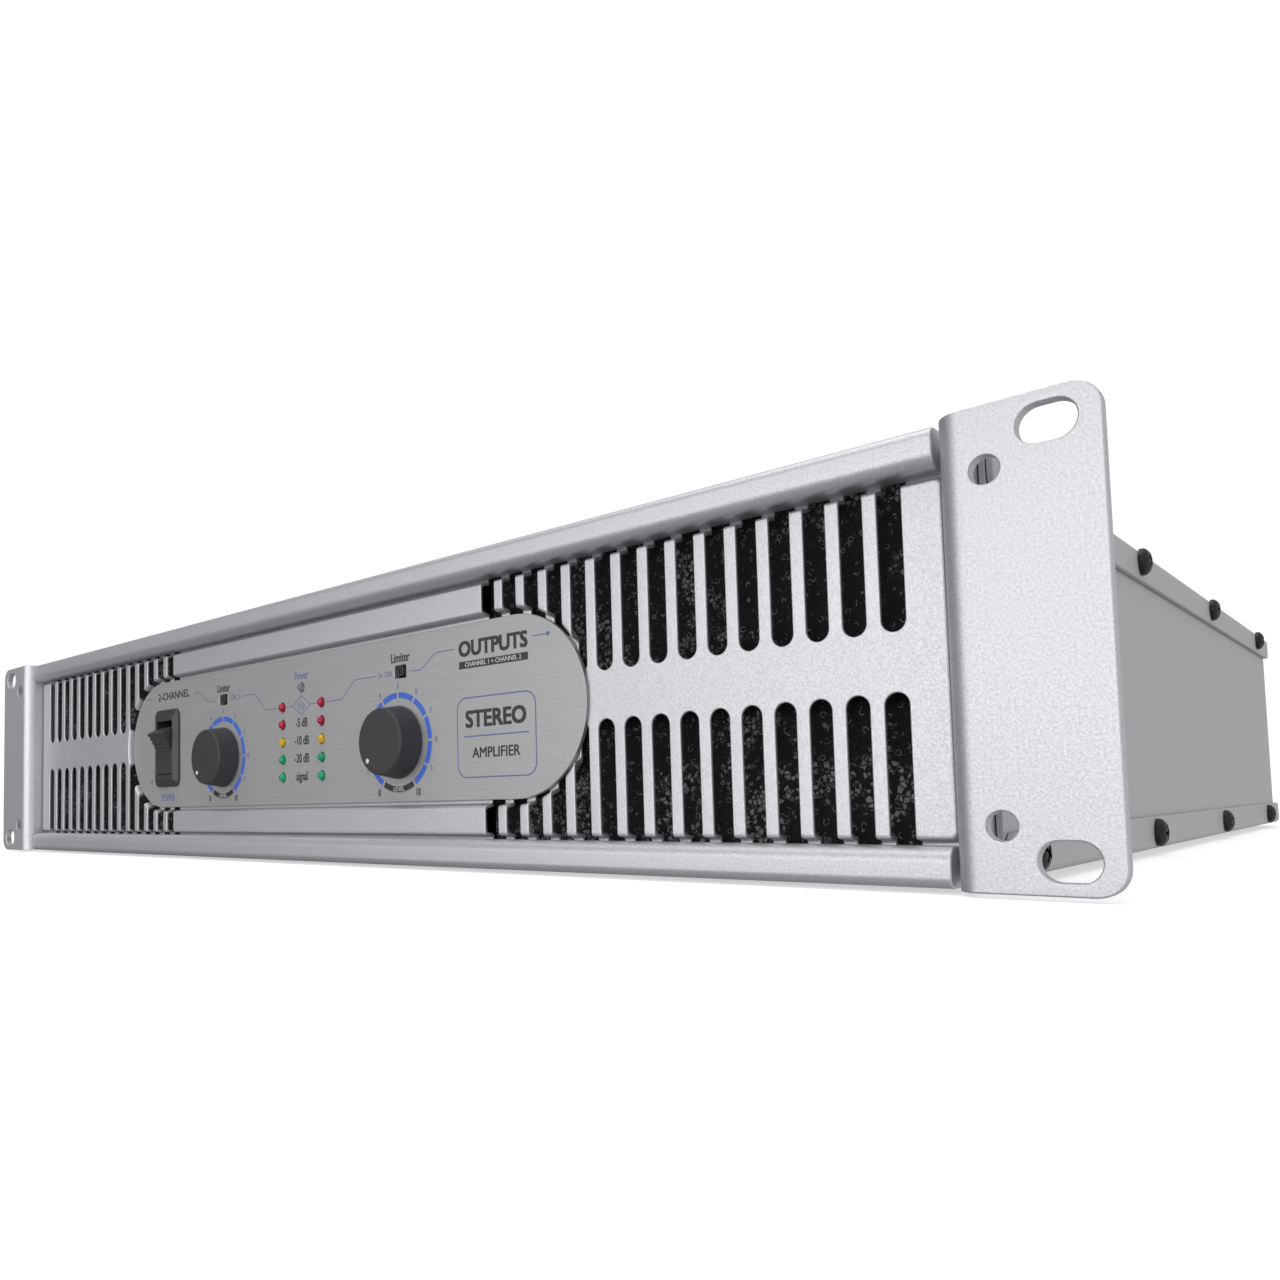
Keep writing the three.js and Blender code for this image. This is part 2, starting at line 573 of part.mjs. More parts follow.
add('control_plate', controlPlate(), BRUSHED_ALUMINIUM);
add('power_switch_housing', powerSwitchHousing(), BLACK_PLASTIC);
add('power_switch_rocker', rocker(), BLACK_PLASTIC);
for (const [name, side] of CHANNELS) {
  add(`level_knob_${name}`, knob(side), DARK_GREY_PLASTIC);
  const shaft = cylinderY(knobX(side), KNOB_Z, SHAFT_RADIUS, [SHAFT_FRONT, SHAFT_BACK], 12);
  add(`level_shaft_${name}`, shaft, STEEL);
  add(`level_pot_${name}`, potentiometer(side), STEEL);
  add(`limiter_switch_${name}`, limiterSwitchBody(side), STEEL);
  add(`limiter_slider_${name}`, limiterSlider(side), BLACK_PLASTIC);
}
add('power_led', led(CONTROLS_X, POWER_LED_Z), CLEAR_LENS);
add('red_leds', joinedLeds(0, 1), RED_LENS);
add('yellow_leds', joinedLeds(2, 2), YELLOW_LENS);
add('green_leds', joinedLeds(3, 4), GREEN_LENS);

function frontBoard() {
  const { halfWidth, bottom, top, front, thick } = FRONT_BOARD;
  return box([-halfWidth, halfWidth], [front, front + thick], [bottom, top]);
}

add('front_circuit_board', frontBoard(), BOARD_GREEN);

// ---------------------------------------------------------------- case
// A cover's section across the case: a flat sheet with a short flange at each side, rounded where it bends.
function coverSection(end) {
  const outerZ = end > 0 ? CASE_TOP : CASE_BOTTOM;
  const innerZ = outerZ - end * CASE_SHEET;
  const edgeZ = outerZ - end * FLANGE_HEIGHT;
  const shape = new THREE.Shape();
  const bendZ = outerZ - end * CASE_BEND;
  const bendX = CASE_HALF - CASE_BEND;
  const inner = CASE_HALF - CASE_SHEET;
  const quarter = (end * Math.PI) / 2;
  shape.moveTo(CASE_HALF, edgeZ);
  shape.absarc(bendX, bendZ, CASE_BEND, 0, quarter, end < 0);
  shape.absarc(-bendX, bendZ, CASE_BEND, quarter, 2 * quarter, end < 0);
  shape.lineTo(-CASE_HALF, edgeZ);
  shape.lineTo(-inner, edgeZ);
  shape.lineTo(-inner, innerZ);
  shape.lineTo(inner, innerZ);
  shape.lineTo(inner, edgeZ);
  return shape;
}

function sideScrewPlaces() {
  const places = SCREW_YS.flatMap((y) => [[y, SCREW_LOW_Z], [y, SCREW_HIGH_Z]]);
  return [...places, ...EAR_SCREW_ZS.map((z) => [SCREW_YS[0], z])];
}

function screwHoles(side) {
  const reach = span(side, EAR_FLANGE_X - OVERCUT, CASE_HALF + OVERCUT);
  return sideScrewPlaces().map(([y, z]) => cylinderX(y, z, SCREW_HOLE, reach, 6));
}

function cover(end) {
  const sheet = alongY(coverSection(end), CASE_FRONT, CASE_REAR, 3);
  const notches = [-1, 1].map((side) => box(
    span(side, SIDE_OUTER - OVERCUT, CASE_HALF + OVERCUT),
    [CASE_FRONT - OVERCUT, FLANGE_FRONT],
    [-OVERCUT, RACK_HEIGHT]));
  return cut(sheet, [...notches, ...screwHoles(-1), ...screwHoles(1)]);
}

function sidePanel(side) {
  const sheet = box(span(side, SIDE_INNER, SIDE_OUTER), [FLANGE_FRONT, SIDE_REAR], [SIDE_BOTTOM, SIDE_TOP]);
  const lip = box(
    span(side, SIDE_OUTER - SIDE_LIP, SIDE_OUTER),
    [SIDE_REAR - CASE_SHEET, SIDE_REAR],
    [SIDE_BOTTOM, SIDE_TOP]);
  return cut(sheet.add(lip), screwHoles(side));
}

add('bottom_tray', cover(-1), GREY_PAINT);
add('top_cover', cover(1), GREY_PAINT);
for (const [name, side] of SIDES) {
  add(`${name}_side_panel`, sidePanel(side), GREY_PAINT);
}

// ---------------------------------------------------------------- rear panel
const SOCKET_PLACES = [...INPUT_XS, ...SPEAKER_XS];

function fanHoles(side, radius, y) {
  const holes = [];
  for (const dx of [-FAN_HOLE_OFFSET, FAN_HOLE_OFFSET]) {
    for (const dz of [-FAN_HOLE_OFFSET, FAN_HOLE_OFFSET]) {
      holes.push(cylinderY(side * FAN_X + dx, FAN_Z + dz, radius, y, 6));
    }
  }
  return holes;
}

// Rows of slots that fill a circle, each split by a rib in the middle.
function fanVents(side, through) {
  const vents = [];
  for (let row = 0; row < VENT_ROWS; row += 1) {
    const dz = (row - (VENT_ROWS - 1) / 2) * VENT_PITCH;
    const reach = Math.sqrt(VENT_RADIUS ** 2 - dz ** 2);
    const half = (reach - VENT_RIB) / 2;
    for (const end of [-1, 1]) {
      const centre = side * FAN_X + end * (VENT_RIB + half);
      const slot = roundedRectangle(centre, FAN_Z + dz, half, VENT_HEIGHT / 2, VENT_HEIGHT / 2);
      vents.push(alongY(slot, ...through, 1));
    }
  }
  return vents;
}

function rearPanel() {
  const through = [REAR_FRONT - OVERCUT, REAR_BACK + OVERCUT];
  const sheet = box([-REAR_HALF, REAR_HALF], [REAR_FRONT, REAR_BACK], [SIDE_BOTTOM, SIDE_TOP]);
  const tools = [
    blockAround(MODE_SWITCH, MODE_SLOT, 0, through),
    blockAround(MAINS, MAINS_BODY, GAP, through),
    cylinderY(BREAKER.x, BREAKER.z, BREAKER.body + GAP, through, 16),
  ];
  for (const [, side] of SIDES) {
    tools.push(...fanVents(side, through), ...fanHoles(side, SCREW_HOLE, through));
  }
  for (const x of SOCKET_PLACES) {
    tools.push(cylinderY(x, SOCKET_Z, SOCKET.hole + GAP, through, 16));
  }
  return cut(sheet, tools);
}

function fanFrame(side) {
  const x = side * FAN_X;
  const half = FAN_SIZE / 2;
  const through = [FAN_FRONT - OVERCUT, FAN_BACK + OVERCUT];
  const shell = alongY(roundedRectangle(x, FAN_Z, half, half, FAN_CORNER), FAN_FRONT, FAN_BACK, 2);
  const ring = shell.subtract(cylinderY(x, FAN_Z, FAN_DUCT, through, 20));
  const motor = cylinderY(x, FAN_Z, ROTOR_HUB, [FAN_BACK - FAN_STRUT, FAN_BACK], 12);
  return cut(join([ring, motor, ...fanStruts(x)]), fanHoles(side, FAN_HOLE_RADIUS, through));
}

function fanStruts(x) {
  const length = FAN_DUCT + OVERCUT;
  const bar = new THREE.BoxGeometry(length, FAN_STRUT, FAN_STRUT);
  bar.translate(length / 2, FAN_BACK - FAN_STRUT / 2, 0);
  return [0.5, 1.5, 2.5, 3.5].map((quarter) =>
    moved(bar.clone().rotateY((quarter * Math.PI) / 2), x, 0, FAN_Z));
}

function fanRotor(side) {
  const x = side * FAN_X;
  const hub = cylinderY(x, FAN_Z, ROTOR_HUB, [ROTOR_FRONT, ROTOR_BACK], 16);
  const length = ROTOR_TIP - ROTOR_HUB + OVERCUT;
  const blade = new THREE.BoxGeometry(length, BLADE.thick, BLADE.chord);
  blade.rotateX(BLADE.pitch).translate(ROTOR_TIP - length / 2, (ROTOR_FRONT + ROTOR_BACK) / 2, 0);
  const blades = Array.from({ length: BLADES }, (_, i) =>
    moved(blade.clone().rotateY((i / BLADES) * 2 * Math.PI), x, 0, FAN_Z));
  return join([hub, ...blades]);
}

add('rear_panel', rearPanel(), GREY_PAINT);
for (const [name, side] of SIDES) {
  add(`${name}_fan_frame`, fanFrame(side), BLACK_PLASTIC);
  add(`${name}_fan_rotor`, fanRotor(side), BLACK_PLASTIC);
}

// ---------------------------------------------------------------- rear sockets and switches
const SOCKET_FACE = REAR_BACK + GAP + SOCKET.flange;
const LATCH_TOP = SOCKET_Z + SOCKET.halfHeight - LATCH.fromTop;
const LATCH_SPAN = [SOCKET_FACE - LATCH.sunk, SOCKET_FACE + LATCH.proud];

function blockAround({ x, z }, { halfWidth, halfHeight }, margin, y) {
  const reachX = halfWidth + margin;
  const reachZ = halfHeight + margin;
  return box([x - reachX, x + reachX], y, [z - reachZ, z + reachZ]);
}

function socketShell(x) {
  const outline = roundedRectangle(x, SOCKET_Z, SOCKET.halfWidth, SOCKET.halfHeight, SOCKET.radius);
  const flange = alongY(outline, REAR_BACK + GAP, SOCKET_FACE, 2);
  return flange.add(cylinderY(x, SOCKET_Z, SOCKET.hole, [REAR_BACK - SOCKET.depth, SOCKET_FACE], 16));
}

// A round groove around a core: the plug's sleeve goes into the groove.
function groove(x, { inner, outer, depth }) {
  const bottom = SOCKET_FACE - depth;
  const core = cylinderY(x, SOCKET_Z, inner, [bottom - OVERCUT, SOCKET_FACE + 2 * OVERCUT], 14);
  return cylinderY(x, SOCKET_Z, outer, [bottom, SOCKET_FACE + OVERCUT], 16).subtract(core);
}

function contactHoles(x) {
  const { count, circle, radius, depth } = CONTACT;
  return Array.from({ length: count }, (_, i) => {
    const angle = (i / count) * 2 * Math.PI + Math.PI / 2;
    const holeX = x + circle * Math.cos(angle);
    const holeZ = SOCKET_Z + circle * Math.sin(angle);
    return cylinderY(holeX, holeZ, radius, [SOCKET_FACE - depth, SOCKET_FACE + OVERCUT], 6);
  });
}

// The release tab of the input socket, or with a margin the slot that it sits in.
function latchBlock(x, margin, y) {
  const reach = LATCH.halfWidth + margin;
  return box([x - reach, x + reach], y, [LATCH_TOP - LATCH.height - margin, LATCH_TOP + margin]);
}

function inputSocket(x) {
  const slot = latchBlock(x, GAP, [SOCKET_FACE - LATCH.slot, SOCKET_FACE + OVERCUT]);
  return cut(socketShell(x), [groove(x, INPUT_WELL), ...contactHoles(x), slot]);
}

function speakerSocket(x) {
  const { centre, centreDepth } = SPEAKER_WELL;
  const hole = cylinderY(x, SOCKET_Z, centre, [SOCKET_FACE - centreDepth, SOCKET_FACE + OVERCUT], 10);
  return cut(socketShell(x), [groove(x, SPEAKER_WELL), hole]);
}

CHANNELS.forEach(([name], i) => {
  add(`input_socket_${name}`, inputSocket(INPUT_XS[i]), BLACK_PLASTIC);
  add(`input_latch_${name}`, latchBlock(INPUT_XS[i], 0, LATCH_SPAN), STEEL);
  add(`speaker_socket_${name}`, speakerSocket(SPEAKER_XS[i]), BLACK_PLASTIC);
});

function mainsInlet() {
  const { x, z, halfWidth, halfHeight, radius } = MAINS;
  const face = REAR_BACK + GAP + MAINS.flange;
  const flange = alongY(roundedRectangle(x, z, halfWidth, halfHeight, radius), REAR_BACK + GAP, face, 3);
  const body = blockAround(MAINS, MAINS_BODY, 0, [face - MAINS_BODY.depth, face]);
  const well = blockAround(MAINS, MAINS_WELL, 0, [face - MAINS_WELL.depth, face + OVERCUT]);
  const pins = MAINS_PIN.places.map(([dx, dz]) => blockAround(
    { x: x + dx, z: z + dz }, MAINS_PIN, 0, [face - MAINS_WELL.depth - OVERCUT, face - MAINS_PIN.tip]));
  return join([flange.add(body).subtract(well), ...pins]);
}

function breakerBody() {
  const { x, z, collar, proud, body, depth } = BREAKER;
  const face = REAR_BACK + proud;
  const front = cylinderY(x, z, collar, [REAR_BACK + GAP, face], 16);
  const barrel = cylinderY(x, z, body, [REAR_BACK - depth, face], 16);
  const boreSpan = [REAR_BACK - BREAKER_BUTTON.bore, face + OVERCUT];
  return front.add(barrel).subtract(cylinderY(x, z, BREAKER_BUTTON.radius + GAP, boreSpan, 12));
}

function breakerButton() {
  const { radius, proud, back } = BREAKER_BUTTON;
  return cylinderY(BREAKER.x, BREAKER.z, radius, [REAR_BACK - back, REAR_BACK + proud], 12);
}

function modeSwitch() {
  const back = REAR_FRONT - GAP;
  const body = blockAround(MODE_SWITCH, MODE_SWITCH, 0, [back - MODE_SWITCH.depth, back]);
  return body.subtract(blockAround(MODE_SWITCH, MODE_SLOT, 0, [back - MODE_SLOT.depth, back + OVERCUT]));
}

function modeSlider() {
  const { front, proud } = MODE_SLIDER;
  return blockAround(MODE_SWITCH, MODE_SLIDER, 0, [REAR_FRONT - front, REAR_BACK + proud]);
}

add('mains_inlet', mainsInlet(), BLACK_PLASTIC);
add('circuit_breaker', breakerBody(), BLACK_PLASTIC);
add('breaker_button', breakerButton(), BLACK_PLASTIC);
add('mode_switch', modeSwitch(), STEEL);
add('mode_slider', modeSlider(), BLACK_PLASTIC);

// ---------------------------------------------------------------- power supply and amplifier stages
function toroid() {
  const { x, y, bottom, height, outer, hole, edge } = TOROID;
  const low = bottom;
  const high = bottom + height;
  const profile = [
    [hole + edge, low], [outer - edge, low], [outer, low + edge], [outer, high - edge],
    [outer - edge, high], [hole + edge, high], [hole, high - edge], [hole, low + edge], [hole + edge, low],
  ];
  return moved(latheZ(profile, 24), x, y, 0);
}

function transformerBolt() {
  const { x, y } = TOROID;
  const headBottom = CLAMP.bottom + CLAMP.thick + GAP;
  const headTop = headBottom + BOLT.headHeight;
  return cylinderZ(x, y, BOLT.radius, [BOLT.bottom, headTop], 8)
    .add(cylinderZ(x, y, BOLT.headRadius, [headBottom, headTop], 6));
}

function disc(outer, inner, [z0, z1], segments) {
  const { x, y } = TOROID;
  const hole = cylinderZ(x, y, inner, [z0 - OVERCUT, z1 + OVERCUT], 8);
  return cylinderZ(x, y, outer, [z0, z1], segments).subtract(hole);
}

function heatsink(side) {
  const { inner, base, outer, bottom, top, front, back } = HEATSINK;
  const plate = box(span(side, inner, inner + base), [front, back], [bottom, top]);
  const pitch = (top - bottom - FIN_THICK) / (FINS - 1);
  const fins = Array.from({ length: FINS }, (_, i) => {
    const z = bottom + i * pitch;
    return box(span(side, inner + base - OVERCUT, outer), [front, back], [z, z + FIN_THICK]);
  });
  return join([plate, ...fins]);
}

// One channel's transistors, held against the heatsink by a clamp bar.
function outputTransistors(side) {
  const { halfWidth, thick, bottom, top } = TRANSISTOR;
  const near = HEATSINK.inner - GAP - thick;
  const pitch = (HEATSINK.back - HEATSINK.front) / TRANSISTORS;
  const packages = Array.from({ length: TRANSISTORS }, (_, i) => {
    const y = HEATSINK.front + (i + 0.5) * pitch;
    return box(span(side, near, near + thick), [y - halfWidth, y + halfWidth], [bottom, top]);
  });
  const bar = box(
    span(side, near - CLAMP_BAR.thick, near + CLAMP_BAR.sunk),
    [HEATSINK.front, HEATSINK.back],
    [CLAMP_BAR.bottom, CLAMP_BAR.top]);
  return join([bar, ...packages]);
}

function capacitor([x, y]) {
  const { radius, bottom, top, edge } = CAPACITOR;
  const profile = [[0, bottom], [radius, bottom], [radius, top - edge], [radius - edge, top], [0, top]];
  return moved(latheZ(profile, 16), x, y, 0);
}

add('toroidal_transformer', toroid(), TAPE);
add('transformer_pad', disc(PAD.outer, PAD.inner, [PAD.bottom, TOROID.bottom - GAP], 24), RUBBER);
add('transformer_clamp', disc(CLAMP.outer, CLAMP.inner, [CLAMP.bottom, CLAMP.bottom + CLAMP.thick], 20), STEEL);
add('transformer_bolt', transformerBolt(), STEEL);
for (const [name, side] of SIDES) {
  const { inner, outer, front, back } = AMP_BOARD;
  const board = box(span(side, inner, outer), [front, back], BOARD_SPAN);
  add(`${name}_heatsink`, heatsink(side), BARE_ALUMINIUM);
  add(`${name}_output_transistors`, outputTransistors(side), BLACK_PLASTIC);
  add(`${name}_amplifier_board`, board, BOARD_GREEN);
}
add(
  'power_supply_board',
  box([-SUPPLY_BOARD.half, SUPPLY_BOARD.half], [SUPPLY_BOARD.front, SUPPLY_BOARD.back], BOARD_SPAN),
  BOARD_GREEN);
CAPACITOR_PLACES.forEach((place, i) => add(`filter_capacitor_${i + 1}`, capacitor(place), SLEEVE_BLUE));

// The origin is the middle of the bottom of the whole amplifier.
amplifier.position.y = -REARMOST / 2;

export default amplifier;
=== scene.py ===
"""The looks of a two-channel rack power amplifier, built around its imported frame.

Every size is in millimetres until a mesh is made: +Z up, +X to the right seen from the front, +Y to the back.
A depth is measured backwards from the front face of the rack ears.
"""
import math

import bmesh
import bpy
import numpy as np
from mathutils import Euler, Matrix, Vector, noise
from mathutils.geometry import delaunay_2d_cdt


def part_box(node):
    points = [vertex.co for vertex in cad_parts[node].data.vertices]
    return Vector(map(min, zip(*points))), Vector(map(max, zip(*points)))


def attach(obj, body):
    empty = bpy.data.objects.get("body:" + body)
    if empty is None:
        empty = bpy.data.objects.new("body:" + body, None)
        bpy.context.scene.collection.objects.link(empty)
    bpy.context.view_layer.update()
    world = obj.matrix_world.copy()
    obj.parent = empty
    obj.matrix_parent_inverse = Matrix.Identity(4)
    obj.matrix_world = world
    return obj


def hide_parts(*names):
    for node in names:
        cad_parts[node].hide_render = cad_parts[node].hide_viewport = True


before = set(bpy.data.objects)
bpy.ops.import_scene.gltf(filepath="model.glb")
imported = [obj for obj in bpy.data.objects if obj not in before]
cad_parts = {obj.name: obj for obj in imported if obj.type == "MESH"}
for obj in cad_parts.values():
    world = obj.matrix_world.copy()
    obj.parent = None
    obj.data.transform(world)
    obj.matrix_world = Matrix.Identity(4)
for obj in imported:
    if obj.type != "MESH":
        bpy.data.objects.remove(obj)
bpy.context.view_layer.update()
MM = 0.001
SIDES = {"left": -1, "right": 1}
CHANNELS = {"1": -1, "2": 1}


def span(node):
    """Lowest and highest corner of a CAD node, in millimetres."""
    low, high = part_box(node)
    return np.array(low) / MM, np.array(high) / MM


def halves(node):
    """Centre and half size of a CAD node."""
    low, high = span(node)
    return (low + high) / 2, (high - low) / 2


def middle(node):
    return halves(node)[0]


FRONT = span("right_rack_ear")[0][1]


def at_depth(y):
    return y - FRONT


# ---------------------------------------------------------------- camera, floor and light
CAMERA_PLACE = (0.2815, -0.3866, 0.01827)
CAMERA_TURN = (93.59, 1.23, 43.23)
CAMERA_LENS = 28.26
CAMERA_SHIFT = (0.0959, 0.0765)
FLOOR_LEVEL = -0.0008
FLOOR_HALF = 6.0
FLOOR_GLOW = 0.46
BACKDROP = 1.05
FRONT_LIGHT = {"place": (-0.07, -1.5, 0.18), "target": (0.05, -0.19, 0.04), "size": (1.9, 1.0), "power": 11.3}
TOP_LIGHT = {"tilt": (8, -6), "spread": 60, "strength": 1.3}
WORLD_LEFT_RIGHT = (0.075, 0.78)
WORLD_LOW_HIGH = (1.0, 1.05)


def make_camera():
    data = bpy.data.cameras.new("camera")
    data.lens = CAMERA_LENS
    data.shift_x, data.shift_y = CAMERA_SHIFT
    data.clip_start = 0.01
    data.clip_end = 100
    camera = bpy.data.objects.new("camera", data)
    camera.location = CAMERA_PLACE
    camera.rotation_euler = Euler([math.radians(angle) for angle in CAMERA_TURN])
    bpy.context.scene.collection.objects.link(camera)
    bpy.context.scene.camera = camera


def make_light(name, place, target, size, power):
    data = bpy.data.lights.new(name, "AREA")
    data.shape = "RECTANGLE"
    data.size, data.size_y = size
    data.energy = power
    light = bpy.data.objects.new(name, data)
    light.location = place
    light.rotation_euler = (Vector(target) - Vector(place)).to_track_quat("-Z", "Y").to_euler()
    bpy.context.scene.collection.objects.link(light)


def make_sun(name, tilt, spread, strength):
    """Even light from above: tilt leans it about X and Y in degrees, spread softens its shadows."""
    data = bpy.data.lights.new(name, "SUN")
    data.angle = math.radians(spread)
    data.energy = strength
    light = bpy.data.objects.new(name, data)
    light.rotation_euler = Euler((math.radians(tilt[0]), math.radians(tilt[1]), 0))
    bpy.context.scene.collection.objects.link(light)


# ---------------------------------------------------------------- materials
class Graph:
    """A procedural material whose textures follow the object's own millimetres."""

    def __init__(self, name, **shader):
        self.material = bpy.data.materials.new(name)
        self.material.use_nodes = True
        self.tree = self.material.node_tree
        self.tree.nodes.clear()
        output = self.tree.nodes.new("ShaderNodeOutputMaterial")
        self.shader = self.node("BsdfPrincipled", **shader)
        self.tree.links.new(self.shader.outputs[0], output.inputs[0])
        self.place = self.node("TexCoord").outputs["Object"]

    def node(self, kind, settings=(), **inputs):
        made = self.tree.nodes.new("ShaderNode" + kind)
        for key, value in dict(settings).items():
            setattr(made, key, value)
        for key, value in inputs.items():
            self.put(made.inputs[key.replace("_", " ")], value)
        return made

    def put(self, socket, value):
        if isinstance(value, bpy.types.NodeSocket):
            self.tree.links.new(value, socket)
        elif socket.type == "RGBA" and len(value) == 3:
            socket.default_value = (*value, 1)
        else:
            socket.default_value = value

    def stretched(self, x, y, z):
        """The place, stretched so that a texture of scale 1 has features of the given millimetres."""
        scale = (1 / (x * MM), 1 / (y * MM), 1 / (z * MM))
        return self.node("Mapping", Vector=self.place, Scale=scale).outputs[0]

    def noise(self, size, detail=2.0, roughness=0.5, place=None):
        vector = self.stretched(size, size, size) if place is None else place
        noise = self.node("TexNoise", Vector=vector, Scale=1.0, Detail=detail, Roughness=roughness)
        return noise.outputs["Fac"]

    def cells(self, size):
        vector = self.stretched(size, size, size)
        return self.node("TexVoronoi", {"feature": "F1"}, Vector=vector, Scale=1.0).outputs["Distance"]

    def ramp(self, value, low, high, to_low=0.0, to_high=1.0):
        ranged = self.node("MapRange", Value=value, From_Min=low, From_Max=high,
                           To_Min=to_low, To_Max=to_high)
        return ranged.outputs[0]

    def multiply(self, first, second):
        made = self.node("Math", {"operation": "MULTIPLY"})
        self.put(made.inputs[0], first)
        self.put(made.inputs[1], second)
        return made.outputs[0]

    def mix(self, share, first, second):
        made = self.node("Mix", {"data_type": "RGBA"})
        self.put(made.inputs[0], share)
        self.put(made.inputs[6], first)
        self.put(made.inputs[7], second)
        return made.outputs[2]

    def colour(self, value):
        self.put(self.shader.inputs["Base Color"], value)

    def rough(self, value):
        self.put(self.shader.inputs["Roughness"], value)

    def bump(self, height, depth, strength=1.0):
        """Raises the surface by height, from 0 to 1, times a depth in millimetres."""
        made = self.node("Bump", Height=height, Strength=strength, Distance=depth * MM)
        self.put(self.shader.inputs["Normal"], made.outputs[0])


def tone(colour, factor):
    return tuple(channel * factor for channel in colour)


def speckled(name, colour, grain, contrast, roughness, grain_depth, patch=0.08, **shader):
    """Paint or moulded plastic: a fine grain, faint large patches and slightly uneven gloss."""
    graph = Graph(name, **shader)
    fine = graph.noise(grain, 3.0, 0.7)
    patches = graph.noise(28, 3.0, 0.55)
    grained = graph.mix(graph.ramp(fine, 0.34, 0.66), tone(colour, 1 - contrast), tone(colour, 1 + contrast))
    graph.colour(graph.mix(graph.ramp(patches, 0.35, 0.75, 0.0, patch), grained, tone(colour, 0.8)))
    graph.rough(graph.ramp(fine, 0.3, 0.7, roughness + 0.05, roughness - 0.05))
    graph.bump(fine, grain_depth)
    return graph.material


def brushed(name, colour, roughness, streak_length, streak_width, contrast=0.06, metallic=1.0):
    """Metal brushed along X: fine streaks in tone, gloss and height."""
    graph = Graph(name, Metallic=metallic)
    streaks = graph.noise(1, 3.0, 0.6, graph.stretched(streak_length, streak_width, streak_width))
    grain = graph.noise(0.35, 2.0, 0.6)
    base = graph.mix(graph.ramp(streaks, 0.3, 0.7), tone(colour, 1 - contrast), tone(colour, 1 + contrast))
    graph.colour(graph.mix(graph.ramp(grain, 0.35, 0.7, 0.0, 0.25), base, tone(colour, 0.8)))
    graph.rough(graph.ramp(streaks, 0.3, 0.7, roughness - 0.03, roughness + 0.04))
    graph.bump(streaks, 0.006, 0.6)
    return graph.material


def foam_material():
    """Open-cell foam: nearly black, with clusters of pale cell faces and loose rings of cut cells."""
    graph = Graph("filter_foam", Roughness=0.85, Specular_IOR_Level=0.3)
    place = graph.stretched(1.15, 1.15, 1.15)
    borders = graph.node("TexVoronoi", {"feature": "DISTANCE_TO_EDGE"}, Vector=place, Scale=1.0)
    inside = graph.ramp(borders.outputs["Distance"], 0.07, 0.13)
    chance = graph.node("TexVoronoi", Vector=place, Scale=1.0)
    lit = graph.ramp(chance.outputs["Color"], 0.35, 0.62)
    ring_cell = graph.cells(1.9)
    ring = graph.multiply(graph.ramp(ring_cell, 0.24, 0.29), graph.ramp(ring_cell, 0.31, 0.37, 1.0, 0.0))
    clusters = graph.ramp(graph.noise(15, 2.0), 0.53, 0.60)
    torn = graph.ramp(graph.noise(1.4, 2.0), 0.48, 0.56)
    mottled = graph.ramp(graph.noise(0.45, 2.0), 0.3, 0.7, 0.45, 1.0)
    small = graph.ramp(graph.cells(0.6), 0.2, 0.3, 1.0, 0.0)
    base = graph.mix(graph.multiply(small, torn), (0.009, 0.009, 0.0105), (0.04, 0.04, 0.044))
    ringed = graph.mix(graph.multiply(ring, torn), base, (0.2, 0.2, 0.21))
    pale = graph.multiply(graph.multiply(inside, lit), graph.multiply(clusters, mottled))
    graph.colour(graph.mix(pale, ringed, (0.26, 0.26, 0.275)))
    graph.bump(inside, 0.3)
    return graph.material


def lens_material(name, colour, deep):
    """A tinted lamp lens, deeper in tone where the resin swirls."""
    graph = Graph(name, Roughness=0.12, IOR=1.5)
    swirl = graph.noise(1.1, 2.0)
    graph.colour(graph.mix(graph.ramp(swirl, 0.38, 0.62), colour, deep))
    graph.bump(swirl, 0.02)
    return graph.material


def ink_material(name, colour):
    """Screen-printed ink, thin enough in places to let the metal's tone through."""
    graph = Graph(name, Roughness=0.5)
    worn = graph.noise(0.5, 3.0, 0.7)
    graph.colour(graph.mix(graph.ramp(worn, 0.45, 0.8), colour, tuple(0.75 * c + 0.08 for c in colour)))
    return graph.material


def board_material():
    """Solder mask over copper tracks that run in straight steps."""
    graph = Graph("circuit_board", Roughness=0.35)
    bricks = graph.node("TexBrick", Vector=graph.place, Scale=1 / (8 * MM), Mortar_Size=0.08)
    tracks = graph.ramp(bricks.outputs["Fac"], 0.2, 0.6)
    graph.colour(graph.mix(tracks, (0.012, 0.09, 0.035), (0.03, 0.2, 0.07)))
    graph.bump(tracks, 0.05)
    return graph.material


def wound_material():
    """Tape wound round a ring: overlapping turns with a soft step at each edge."""
    graph = Graph("winding_tape", Roughness=0.35, Coat_Weight=0.3)
    turns = graph.node("TexWave", {"wave_profile": "SAW"}, Vector=graph.stretched(60, 60, 9),
                       Scale=0.35, Distortion=2.0, Detail=1.0).outputs["Fac"]
    graph.colour(graph.mix(turns, (0.52, 0.34, 0.05), (0.75, 0.53, 0.12)))
    graph.bump(turns, 0.3)
    return graph.material


